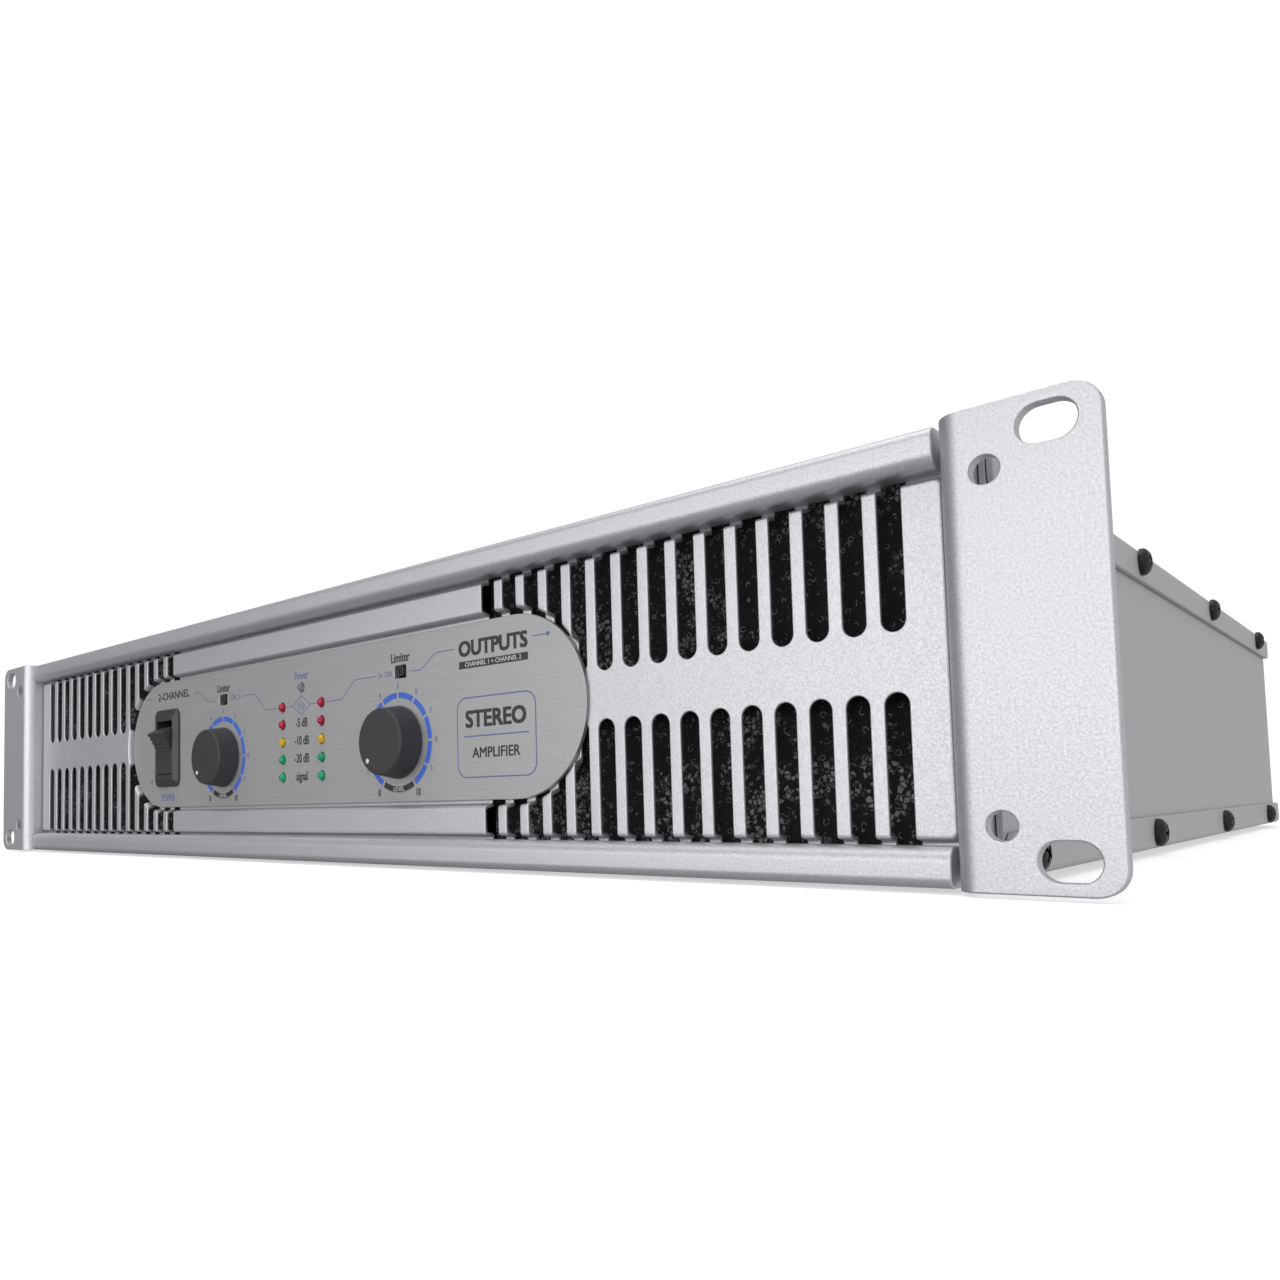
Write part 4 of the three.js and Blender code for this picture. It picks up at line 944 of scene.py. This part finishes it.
SCALE = {"inner": 13.3, "outer": 15.1, "low": 240.0, "high": -60.0, "gap": 1.6, "numbers": 17.0}


def print_scale(blue, faint, dark, white, x, z):
    """The ring round a level knob: ten segments with their numbers, and a dark arc with its name."""
    turn = (SCALE["high"] - SCALE["low"]) / 10
    for i in range(10):
        start = SCALE["low"] + i * turn
        first, last = start - SCALE["gap"], start + turn + SCALE["gap"]
        blue.add(band(x, z, SCALE["inner"], SCALE["outer"], first, last))
    for number in range(1, 10):
        angle = math.radians(SCALE["low"] + number * turn)
        u, v = x + SCALE["numbers"] * math.cos(angle), z + SCALE["numbers"] * math.sin(angle)
        faint.text(str(number), u, v, 1.8, 0.02, 0.85)
    dark.add(band(x, z, SCALE["inner"], SCALE["outer"], -118, -62))
    dark.text("0", x - 9.2, z - 15.2, 2.2, 0.04, 0.75)
    dark.text("10", x + 8.7, z - 15.2, 2.2, 0.04, 0.75)
    points, triangles = letters("LEVEL", 1.4, 1.05)
    middle_radius = (SCALE["inner"] + SCALE["outer"]) / 2
    radius = middle_radius - points[:, 1]
    angle = -math.pi / 2 + points[:, 0] / middle_radius
    curved = np.column_stack([x + radius * np.cos(angle), z + radius * np.sin(angle)])
    white.cover(curved, triangles)


def print_signal_path(faint, centre):
    """The thin line from the input label through both limiters and lamps to the output label."""
    faint.line([(-111, 62.6), (-106.5, 62.8)])
    faint.line([(-72, 62.3), (-69, 62.3), *swing((-69, 62.3), (-61, 58)), (-56.5, 58)])
    faint.line([(-38.5, 58.3), (-31, 58.3), *swing((-31, 58.3), (-22, 52)), (-16.6, 52)])
    faint.line([(12.5, 52), (19.6, 52), *swing((19.6, 52), (28.6, 57.7)), (38.5, 57.7)])
    faint.line([(54.2, 57.7), (58, 57.5), *swing((58, 57.5), (67, 61.9)), (73.6, 61.9)])
    faint.line([(104, 61.9), (108.8, 61.9)])
    faint.add(band(109.4, 61.9, 0.01, 0.65, 0, 359))
    faint.line([(centre - 8.5, 52), (centre - 5, 52)])
    faint.line([(centre + 5, 52), (centre + 8.5, 52)])
    faint.add(ribbon([(centre - 5, 52), (centre, 48.8), (centre + 5, 52), (centre, 55.2)], 0.3, closed=True))
    for x, z in [(-40.3, 58.3), (40.2, 57.7)]:      # arrow heads
        faint.add(ribbon([(x - 0.9, z - 0.8), (x + 0.9, z), (x - 0.9, z + 0.8)], 0.35))


def print_front():
    depth = at_depth(span("control_plate")[0][1])
    centre = middle("power_led")[0]

    def place(points, level):
        return facing_front(points, depth + level)

    blue = Print("print_blue", "blue_ink", place)
    faint = Print("print_faint_blue", "faint_ink", place)
    dark = Print("print_dark", "dark_ink", place)
    white = Print("print_white", "white_ink", place)
    print_signal_path(faint, centre)
    for channel in CHANNELS:
        knob, limiter = middle(f"level_knob_{channel}"), middle(f"limiter_switch_{channel}")
        print_scale(blue, faint, dark, white, knob[0], knob[2])
        dark.text("Limiter", limiter[0], 62.2, 2.9, 0.03, 0.76)
    faint.text("ON", -44.2, 58.3, 1.9, 0.02, 0.8)
    faint.text("ON", 44.2, 57.7, 1.9, 0.02, 0.8)
    faint.text("Power", centre, 62.0, 2.8, 0.02, 0.78)
    faint.text("clip", centre, 52, 2.8, 0.0, 0.75)
    for text, z in [("-5 dB", 46), ("-10 dB", 40), ("-20 dB", 34), ("signal", 28)]:
        dark.text(text, centre, z, 3.1, 0.03, 0.72)
    switch = middle("power_switch_housing")
    faint.text("POWER", switch[0], 22.4, 3.0, 0.02, 0.76)
    faint.text("I", switch[0] - 13.3, 52, 2.1, 0.02)
    faint.text("0", switch[0] - 13.3, 29, 2.1, 0.02)
    dark.text("2-CHANNEL", -88.5, 62.8, 3.0, 0.03, 1.1)
    print_right_end(faint, dark, white)
    for ink in (blue, faint, dark, white):
        ink.make()


def print_right_end(faint, dark, white):
    """The output label over a bar that names the channels, and the words in a plain frame below them."""
    dark.text("OUTPUTS", 88.8, 61.3, 4.4, 0.06, 1.0)
    dark.line([(75.6, 56.9), (102.2, 56.9)], 2.1)
    white.cover(*shifted(letters("CHANNEL 1 + CHANNEL 2", 1.35, 0.98), 88.9, 56.9))
    faint.add(ribbon(Round(89.5, 36.3, 15, 11.2, 3.5).outline(), 0.4, closed=True))
    dark.text("STEREO", 89.5, 41.2, 4.8, 0.055, 1.02)
    faint.line([(77, 36.6), (102, 36.6)], 0.4)
    dark.text("AMPLIFIER", 89.5, 31.8, 3.0, 0.03, 0.98)


# ---------------------------------------------------------------- case
CASE_SHEET = 1.2
CASE_BEND = 1.8
CASE_EDGE = 0.25
COVER_FLANGE = 9.0
SIDE_START = 16.0


def cover_place(half_width, surface, inwards):
    """Folds a flat sheet over the case's two long sides; inwards is -1 for the top and 1 for the bottom."""
    flat = half_width - CASE_BEND
    curve = CASE_BEND * math.pi / 2

    def place(points, depth):
        u, way = np.abs(points[:, 0]), np.sign(points[:, 0])
        angle = np.clip((u - flat) / CASE_BEND, 0, math.pi / 2)
        radius = CASE_BEND - depth
        x = np.minimum(u, flat) + radius * np.sin(angle)
        drop = CASE_BEND - radius * np.cos(angle) + np.maximum(u - flat - curve, 0)
        return np.column_stack([way * x, FRONT + points[:, 1], surface + inwards * drop])

    return place, flat, curve


def make_cover(node, inwards):
    low, high = span(node)
    surface = high[2] if inwards < 0 else low[2]
    place, flat, curve = cover_place(high[0], surface, inwards)
    reach_u = flat + curve + COVER_FLANGE - CASE_BEND
    start, end = at_depth(low[1]), at_depth(high[1])
    shapes = [
        Round(0, (start + end) / 2, flat, (end - start) / 2, 0.6),
        Round(0, (SIDE_START + end) / 2, reach_u, (end - SIDE_START) / 2, 3.0),
    ]
    bends = []
    for side in (-1, 1):
        for i in range(9):
            u = side * (flat + curve * i / 8)
            bends.append([(u, start - 1), (u, end + 1)])
    vertices, faces = plate(shapes, [], place, 0.0, CASE_SHEET, CASE_EDGE, bends)
    piece(f"{node}_shell", vertices, faces, "grey", stands_for=[node])


def make_side(name, side):
    node = f"{name}_side_panel"
    low, high = span(node)
    outer = max(abs(low[0]), abs(high[0]))

    def place(points, depth):
        return np.column_stack([side * (outer - depth), FRONT + points[:, 0], points[:, 1]])

    centre, half = halves(node)
    sheet = Round(at_depth(centre[1]), centre[2], half[1], half[2], 1.0)
    vertices, faces = plate([sheet], [], place, 0.0, CASE_SHEET, CASE_EDGE)
    piece(f"{name}_side_sheet", vertices, faces, "grey", stands_for=[node])


CASE_SCREW = {"radius": 3.85, "height": 2.7, "arm": 2.1, "slit": 0.5}
SMALL_SCREW = {"radius": 2.9, "height": 1.7, "arm": 1.5, "slit": 0.4}
TINY_SCREW = {"radius": 1.9, "height": 1.0, "arm": 1.2, "slit": 0.3}
CROWN_FALL = 0.6
CROWN_POWER = 3.6
SCREW_DEPTHS = [29.5, 139.5, 249.5, 359.5]
SCREW_HEIGHTS = [5.7, 82.0]
EAR_SCREWS = {"depth": 29.5, "heights": [20, 68]}


def screw_shape(size):
    """A domed screw head with a cross recess: its seat at distance 0 and its crown facing away."""
    radius, height = size["radius"], size["height"]
    head = circle(0, 0, radius)
    arms = [Round(0, 0, size["arm"], size["slit"], 0.2), Round(0, 0, size["slit"], size["arm"], 0.2)]

    def place(points, depth):
        return np.column_stack([points[:, 0], points[:, 1], height - depth])

    def crown(points):
        dome = height * CROWN_FALL * (np.linalg.norm(points, axis=1) / radius) ** CROWN_POWER
        inside = -np.min([arm.distance(points) for arm in arms], axis=0)
        return dome + height * 0.55 * np.clip(inside / 0.15, 0, 1)

    rings = [circle(0, 0, radius * share).outline() for share in (0.2, 0.4, 0.6, 0.75, 0.88)]
    lines = [arm.outline(-grow) for arm in arms for grow in (0, 0.15)]
    return plate([head], [], place, crown, height, 0.2, rings + lines)


def put_screw(name, shape, at, facing, spin, look="screw"):
    """Places a screw head at a point, facing a direction, turned by spin in degrees."""
    vertices, faces = shape
    turn = Vector(facing).to_track_quat("Z", "Y").to_matrix() @ Euler((0, 0, math.radians(spin))).to_matrix()
    piece(name, np.array(vertices) @ np.array(turn).T + np.array(at), faces, look)


def make_case_screws():
    shape, small = screw_shape(CASE_SCREW), screw_shape(SMALL_SCREW)
    flange_x, side_x = span("top_cover")[1][0], span("right_side_panel")[1][0]
    for name, side in SIDES.items():
        for row, z in zip(("lower", "upper"), SCREW_HEIGHTS):
            for i, depth in enumerate(SCREW_DEPTHS):
                put_screw(f"{name}_{row}_case_screw_{i + 1}", shape, (side * flange_x, FRONT + depth, z),
                          (side, 0, 0), 17 + 41 * i + 23 * z)
        for row, z in zip(("lower", "upper"), EAR_SCREWS["heights"]):
            put_screw(f"{name}_{row}_ear_screw", small, (side * side_x, FRONT + EAR_SCREWS["depth"], z),
                      (side, 0, 0), 31 * z)


# ---------------------------------------------------------------- rear panel and what it carries
REAR = span("rear_panel")[1][1]
WALL = 0.06
FAN_VENT = {"rows": 5, "pitch": 9, "half_height": 2.3, "radius": 26.5, "rib": 2.5}
FAN_SCREW_OFFSET = 25.0
SOCKET_HOLE = 12.0
SOCKET_DEPTH = 20.0
SOCKET_SCREWS = [(-10.2, 12.6), (10.2, -12.6)]
INPUT_GROOVE = {"inner": 7.2, "outer": 9.0, "depth": 11}
SPEAKER_GROOVE = {"inner": 6.0, "outer": 9.8, "depth": 14}
INLET = {"body": (14, 10), "well": (12, 8), "body_depth": 22, "depth": 17, "pin_depth": 6,
         "pins": [(-7, -2), (7, -2), (0, 2.5)]}
BREAKER_HOLE = 6.0
BREAKER_BORE = 3.75
BREAKER_WELL = 6.0           # how deep the button's bore goes
NUT = {"seat": 0.3, "top": 2.5}
MODE_SLOT = (7.4, 2.6)


def facing_back(points, depth):
    return np.column_stack([points[:, 0], REAR - depth, points[:, 1]])


def recess(points, shape, depth):
    """How deep a recess with upright walls is at each point."""
    return depth * np.clip(-shape.distance(points) / WALL, 0, 1)


def island(points, shape):
    """1 on an island that stands in a recess, 0 beyond its wall."""
    return np.clip((WALL - shape.distance(points)) / WALL, 0, 1)


def stepped(shape, *grows):
    return [shape.outline(grow) for grow in grows]


def at_node(node):
    centre = middle(node)
    return centre[0], centre[2]


def fan_vents(x, z):
    vents = []
    for row in range(FAN_VENT["rows"]):
        rise = (row - (FAN_VENT["rows"] - 1) / 2) * FAN_VENT["pitch"]
        half = (math.sqrt(FAN_VENT["radius"] ** 2 - rise ** 2) - FAN_VENT["rib"]) / 2
        for end in (-1, 1):
            centre = x + end * (FAN_VENT["rib"] + half)
            vents.append(Round(centre, z + rise, half, FAN_VENT["half_height"], FAN_VENT["half_height"]))
    return vents


def make_rear_panel():
    centre, half = halves("rear_panel")
    holes = [Round(*at_node("mains_inlet"), INLET["body"][0] + 0.3, INLET["body"][1] + 0.3, 0.5),
             circle(*at_node("circuit_breaker"), BREAKER_HOLE + 0.3),
             Round(*at_node("mode_switch"), *MODE_SLOT, 0.4)]
    for name in SIDES:
        holes += fan_vents(*at_node(f"{name}_fan_frame"))
    for channel in CHANNELS:
        sockets = [f"{kind}_socket_{channel}" for kind in ("input", "speaker")]
        holes += [circle(*at_node(socket), SOCKET_HOLE + 0.3) for socket in sockets]
    sheet = Round(centre[0], centre[2], half[0], half[2], 1.0)
    vertices, faces = plate([sheet], holes, facing_back, 0.0, CASE_SHEET, CASE_EDGE)
    piece("rear_sheet", vertices, faces, "grey", stands_for=["rear_panel"])


def make_socket(node, groove, details):
    """A socket with a square flange. details gives extra depth at points, and the lines that it needs."""
    low, high = span(node)
    x, z = at_node(node)
    rim = Round(x, z, (high[0] - low[0]) / 2, (high[2] - low[2]) / 2, 2.5)
    inner, outer, barrel = (circle(x, z, r) for r in (groove["inner"], groove["outer"], SOCKET_HOLE))
    extra, lines = details(x, z)
    face = REAR - high[1]

    def front(points):
        ring = recess(points, outer, groove["depth"]) * (1 - island(points, inner))
        return face + np.maximum(ring, extra(points))

    def back(points):
        return np.where(barrel.distance(points) < -0.01, SOCKET_DEPTH, face + 2.0)

    lines += stepped(outer, 0, -WALL) + stepped(inner, 0, WALL) + stepped(barrel, 0, -WALL)
    vertices, faces = plate([rim], [], facing_back, front, back, 0.35, lines)
    piece(f"{node}_moulding", vertices, faces, "black", stands_for=[node])
    for i, (dx, dz) in enumerate(SOCKET_SCREWS):
        place = (x + dx, high[1], z + dz)
        put_screw(f"{node}_screw_{i + 1}", screw_shape(TINY_SCREW), place, (0, 1, 0), 20 + 50 * i, "steel")


def input_details(x, z):
    contacts = [circle(x + 3.6 * math.cos(a), z + 3.6 * math.sin(a), 1.1)
                for a in (math.pi / 2 + i * 2 * math.pi / 3 for i in range(3))]
    slot = Round(x, z + 12.2, 3.3, 2.0, 0.3)

    def extra(points):
        return np.max([recess(points, slot, 4.0), *(recess(points, hole, 9.0) for hole in contacts)], axis=0)

    lines = stepped(slot, 0, -WALL)
    for hole in contacts:
        lines += stepped(hole, 0, -WALL)
    return extra, lines


def speaker_details(x, z):
    centre = circle(x, z, 3.0)
    key = Round(x, z + 10.2, 1.6, 1.5, 0.3)

    def extra(points):
        return np.maximum(recess(points, centre, 12.0), recess(points, key, 8.0))

    return extra, stepped(centre, 0, -WALL) + stepped(key, 0, -WALL)


INLET_SCREW_OFFSET = 19.0


def make_inlet():
    low, high = span("mains_inlet")
    x, z = at_node("mains_inlet")
    rim = Round(x, z, (high[0] - low[0]) / 2, (high[2] - low[2]) / 2, 3.5)
    well = Round(x, z, *INLET["well"], 2.2)
    body = Round(x, z, *INLET["body"], 1.5)
    pins = [Round(x + dx, z + dz, 1.0, 2.2, 0.4) for dx, dz in INLET["pins"]]
    face = REAR - high[1]

    def front(points):
        return face + recess(points, well, INLET["depth"])

    def back(points):
        return np.where(body.distance(points) < -0.01, face + INLET["body_depth"], face + 2.3)

    lines = stepped(well, 0, -WALL) + stepped(body, 0, -WALL)
    vertices, faces = plate([rim], [], facing_back, front, back, 0.4, lines)
    piece("mains_inlet_moulding", vertices, faces, "black", stands_for=["mains_inlet"])
    blades = [plate([pin], [], facing_back, face + INLET["pin_depth"], face + INLET["depth"] + 0.5, 0.3)
              for pin in pins]
    piece("mains_inlet_pins", *merged(*blades), "steel")
    shape = screw_shape(SMALL_SCREW)
    for name, side in SIDES.items():
        place = (x + side * INLET_SCREW_OFFSET, high[1], z)
        put_screw(f"mains_inlet_{name}_screw", shape, place, (0, 1, 0), 30 * side, "steel")


def make_breaker():
    low, high = span("circuit_breaker")
    centre, front = middle("circuit_breaker"), high[1]
    radius = (high[0] - low[0]) / 2
    bore, bottom = BREAKER_BORE, REAR - BREAKER_WELL
    nut, top = REAR + NUT["seat"], REAR + NUT["top"]
    profile = [(BREAKER_HOLE, low[1]), (BREAKER_HOLE, nut), (radius, nut), (radius, top - 0.3),
               (radius - 0.5, top), (BREAKER_HOLE + 0.1, top), (BREAKER_HOLE, front - 0.4),
               (BREAKER_HOLE - 0.4, front), (bore + 0.3, front), (bore, front - 0.3),
               (bore, bottom), (0, bottom)]
    piece("breaker_collar", *lathe([(0, low[1]), *profile], centre), "steel", stands_for=["circuit_breaker"])
    low, high = span("breaker_button")
    radius = (high[0] - low[0]) / 2
    profile = [(0, high[1])] + [(radius * math.sin(a), high[1] - 0.8 * (1 - math.cos(a)))
                                for a in np.linspace(0.3, math.pi / 2, 7)]
    profile += [(radius, low[1]), (0, low[1])]
    piece("breaker_push_button", *lathe(profile, centre, segments=32), "black", "breaker", ["breaker_button"])


def make_mode_switch():
    dress("mode_switch", "steel", 0.2)
    low, high = span("mode_slider")
    centre, half = halves("mode_slider")
    nub = Round(centre[0], centre[2], half[0], half[2], 0.3)
    ribs = [Round(centre[0] + shift, centre[2], 0.25, half[2] - 0.3, 0.1) for shift in (-1.2, 0, 1.2)]

    def face(points):
        heights = [np.clip(-rib.distance(points) / WALL, 0, 1) for rib in ribs]
        return REAR - high[1] + 0.5 * np.max(heights, axis=0)

    lines = [line for rib in ribs for line in stepped(rib, 0, -WALL)]
    vertices, faces = plate([nub], [], facing_back, face, REAR - low[1], 0.2, lines)
    piece("mode_slider_nub", vertices, faces, "black", "mode", ["mode_slider"])


def make_latch(channel):
    node = f"input_latch_{channel}"
    low, high = span(node)
    centre, half = halves(node)
    tab = Round(centre[0], centre[2], half[0], half[2], 0.6)

    def face(points):
        return REAR - high[1] + 0.5 * np.clip((points[:, 1] - centre[2]) / half[2] + 0.2, 0, 1)

    line = [(low[0] - 1, centre[2]), (high[0] + 1, centre[2]), (high[0] + 1, centre[2] + 0.01)]
    vertices, faces = plate([tab], [], facing_back, face, REAR - low[1], 0.25, [line])
    piece(f"{node}_tab", vertices, faces, "steel", f"latch_{channel}", [node])


BLADES = 7
BLADE = {"thick": 1.3, "root": 13.0, "tip": 27.4, "chord": 12.0, "widening": 0.12, "bow": 1.3, "sweep": 0.18,
         "root_pitch": 52, "tip_pitch": 36, "clear": 0.8, "steps": 10, "points": 9}
HUB = {"front": 12.4, "shoulder": 13.6, "rise": 1.2, "widest": 13.9, "back": 13.4, "chamfer": 0.5}


def blade_shape(x, z, low, high, turn):
    """One fan blade: a curved sheet, steeper at its root than at its tip."""
    sections = []
    for share in np.linspace(0, 1, BLADE["steps"] + 1):
        radius = BLADE["root"] + (BLADE["tip"] - BLADE["root"]) * share
        pitch = math.radians(BLADE["root_pitch"] + (BLADE["tip_pitch"] - BLADE["root_pitch"]) * share)
        section = []
        for t in np.linspace(-1, 1, BLADE["points"]):
            bow = BLADE["bow"] * (1 - t * t)
            along = t * BLADE["chord"] / 2 * (1 + BLADE["widening"] * share)
            across = along * math.cos(pitch) - bow * math.sin(pitch)
            depth = along * math.sin(pitch) + bow * math.cos(pitch)
            section.append((across / radius + BLADE["sweep"] * share, depth))
        sections.append((radius, section))
    flat = np.array([(radius, angle, depth) for radius, section in sections for angle, depth in section])
    middle_y, limit = (low + high) / 2, (high - low) / 2 - BLADE["clear"]
    sheets = []
    for offset in (-BLADE["thick"] / 2, BLADE["thick"] / 2):
        angle = flat[:, 1] + turn
        y = middle_y + np.clip(flat[:, 2], -limit, limit) + offset
        sheets.append(np.column_stack([x + flat[:, 0] * np.cos(angle), y, z + flat[:, 0] * np.sin(angle)]))
    width = BLADE["points"]
    triangles = []
    for row in range(BLADE["steps"]):
        for column in range(width - 1):
            corner = row * width + column
            above = corner + width
            triangles += [(corner, corner + 1, above + 1), (corner, above + 1, above)]
    return closed(*sheets, triangles)


def make_fan(name):
    rotor = f"{name}_fan_rotor"
    low, high = span(rotor)
    x, z = at_node(f"{name}_fan_frame")
    profile = [(0, low[1]), (HUB["front"], low[1]), (HUB["shoulder"], low[1] + HUB["rise"]),
               (HUB["widest"], high[1] - HUB["chamfer"]), (HUB["back"], high[1]), (0, high[1])]
    bodies = [lathe(profile, (x, 0, z), segments=64)]
    bodies += [blade_shape(x, z, low[1], high[1], 2 * math.pi * i / BLADES) for i in range(BLADES)]
    piece(f"{rotor}_impeller", *merged(*bodies), "black", f"{name}_fan", [rotor])
    dress(f"{name}_fan_frame", "black", 0.4)
    shape = screw_shape(SMALL_SCREW)
    for i, (across, up) in enumerate([(-1, -1), (1, -1), (-1, 1), (1, 1)]):
        place = (x + across * FAN_SCREW_OFFSET, REAR, z + up * FAN_SCREW_OFFSET)
        put_screw(f"{name}_fan_screw_{i + 1}", shape, place, (0, 1, 0), 25 + 37 * i)


def print_rear():
    """Plain labels, read from behind."""
    def place(points, level):
        return facing_back(points * (-1, 1), level)

    dark = Print("rear_print_dark", "dark_ink", place)
    for channel in CHANNELS:
        x, z = at_node(f"input_socket_{channel}")
        dark.text(f"INPUT {channel}", -x, z + 19.5, 3.0, 0.02)
        x, z = at_node(f"speaker_socket_{channel}")
        dark.text(f"OUTPUT {channel}", -x, z + 19.5, 3.0, 0.02)
    x, z = at_node("mode_switch")
    dark.text("MODE", -x, z + 6.5, 2.4, 0.02)
    dark.text("STEREO", -x - 16.5, z, 2.0, 0.01)
    dark.text("BRIDGE", -x + 16.5, z, 2.0, 0.01)
    x, z = at_node("circuit_breaker")
    dark.text("BREAKER", -x, z + 12.2, 2.4, 0.02)
    dark.text("PUSH TO RESET", -x - 24, z, 1.8, 0.01)
    x, z = at_node("mains_inlet")
    dark.text("MAINS INPUT", -x, z - 16.5, 2.4, 0.02)
    dark.line([(-59, 14), (-59, 74)], 0.35)
    dark.make()


REAR_SCREWS = [(-208, 12), (-208, 76), (0, 79.5), (208, 12), (208, 76)]


def make_rear():
    make_rear_panel()
    for channel in CHANNELS:
        make_socket(f"input_socket_{channel}", INPUT_GROOVE, input_details)
        make_socket(f"speaker_socket_{channel}", SPEAKER_GROOVE, speaker_details)
        make_latch(channel)
    make_inlet()
    make_breaker()
    make_mode_switch()
    for name in SIDES:
        make_fan(name)
    shape = screw_shape(SMALL_SCREW)
    for i, (x, z) in enumerate(REAR_SCREWS):
        put_screw(f"rear_panel_screw_{i + 1}", shape, (x, REAR, z), (0, 1, 0), 40 * i)
    print_rear()


# ---------------------------------------------------------------- inside
INSIDE = {
    "toroidal_transformer": ("tape", 2.0), "transformer_pad": ("rubber", 0.4),
    "transformer_clamp": ("steel", 0.4),
    "transformer_bolt": ("steel", 0.5), "power_supply_board": ("board", 0.15),
    "front_circuit_board": ("board", 0.15),
    **{f"{name}_heatsink": ("aluminium", 0.3) for name in SIDES},
    **{f"{name}_output_transistors": ("black", 0.3) for name in SIDES},
    **{f"{name}_amplifier_board": ("board", 0.15) for name in SIDES},
    **{f"filter_capacitor_{i}": ("sleeve", 0.6) for i in range(1, 5)},
}


def make_inside():
    for node, (look, bevel) in INSIDE.items():
        dress(node, look, bevel)


# ---------------------------------------------------------------- put together
def make_front():
    for name, side in SIDES.items():
        make_ear(name, side)
        make_foam(name)
    make_rail("top_rail", 1)
    make_rail("bottom_rail", -1)
    make_grille()
    make_control_plate()
    make_lamps()
    make_power_switch()
    for channel in CHANNELS:
        make_knob(channel)
        make_limiter(channel)
    print_front()


def make_case():
    make_cover("top_cover", -1)
    make_cover("bottom_tray", 1)
    for name, side in SIDES.items():
        make_side(name, side)
    make_case_screws()


def make_stage():
    corners = [(-1, -1), (1, -1), (1, 1), (-1, 1)]
    mesh = bpy.data.meshes.new("floor")
    mesh.from_pydata([(x * FLOOR_HALF, y * FLOOR_HALF, FLOOR_LEVEL) for x, y in corners], [], [(0, 1, 2, 3)])
    floor = bpy.data.objects.new("floor", mesh)
    graph = Graph("floor_paper", Roughness=0.9, Emission_Color=(1, 1, 1), Emission_Strength=FLOOR_GLOW)
    paper = graph.noise(400, 2.0)
    graph.colour(graph.mix(paper, (0.80, 0.80, 0.80), (0.84, 0.84, 0.84)))
    mesh.materials.append(graph.material)
    bpy.context.scene.collection.objects.link(floor)
    floor.visible_diffuse = floor.visible_glossy = False


def make_world():
    """White to the camera; as light it is dim on the left of the amplifier and brighter on the right."""
    world = bpy.data.worlds.new("studio")
    world.use_nodes = True
    tree = world.node_tree
    tree.nodes.clear()

    def add(kind):
        return tree.nodes.new("ShaderNode" + kind)

    output, mix, fill, backdrop = add("OutputWorld"), add("MixShader"), add("Background"), add("Background")
    path, direction, split, total = add("LightPath"), add("TexCoord"), add("SeparateXYZ"), add("Math")
    total.operation = "MULTIPLY"
    for i, (axis, (start, end)) in enumerate({"X": WORLD_LEFT_RIGHT, "Z": WORLD_LOW_HIGH}.items()):
        sweep = add("MapRange")
        sweep.inputs["From Min"].default_value, sweep.inputs["From Max"].default_value = -1, 1
        sweep.inputs["To Min"].default_value, sweep.inputs["To Max"].default_value = start, end
        tree.links.new(split.outputs[axis], sweep.inputs["Value"])
        tree.links.new(sweep.outputs[0], total.inputs[i])
    backdrop.inputs["Color"].default_value = (1, 1, 1, 1)
    backdrop.inputs["Strength"].default_value = BACKDROP
    fill.inputs["Color"].default_value = (0.98, 0.98, 1, 1)
    tree.links.new(direction.outputs["Generated"], split.inputs[0])
    tree.links.new(total.outputs[0], fill.inputs["Strength"])
    tree.links.new(path.outputs["Is Camera Ray"], mix.inputs[0])
    tree.links.new(fill.outputs[0], mix.inputs[1])
    tree.links.new(backdrop.outputs[0], mix.inputs[2])
    tree.links.new(mix.outputs[0], output.inputs[0])
    bpy.context.scene.world = world


make_camera()
make_front()
make_case()
make_rear()
make_inside()
make_stage()
make_world()
make_light("front_light", **FRONT_LIGHT)
make_sun("top_light", **TOP_LIGHT)
bpy.context.scene.view_settings.view_transform = "Standard"
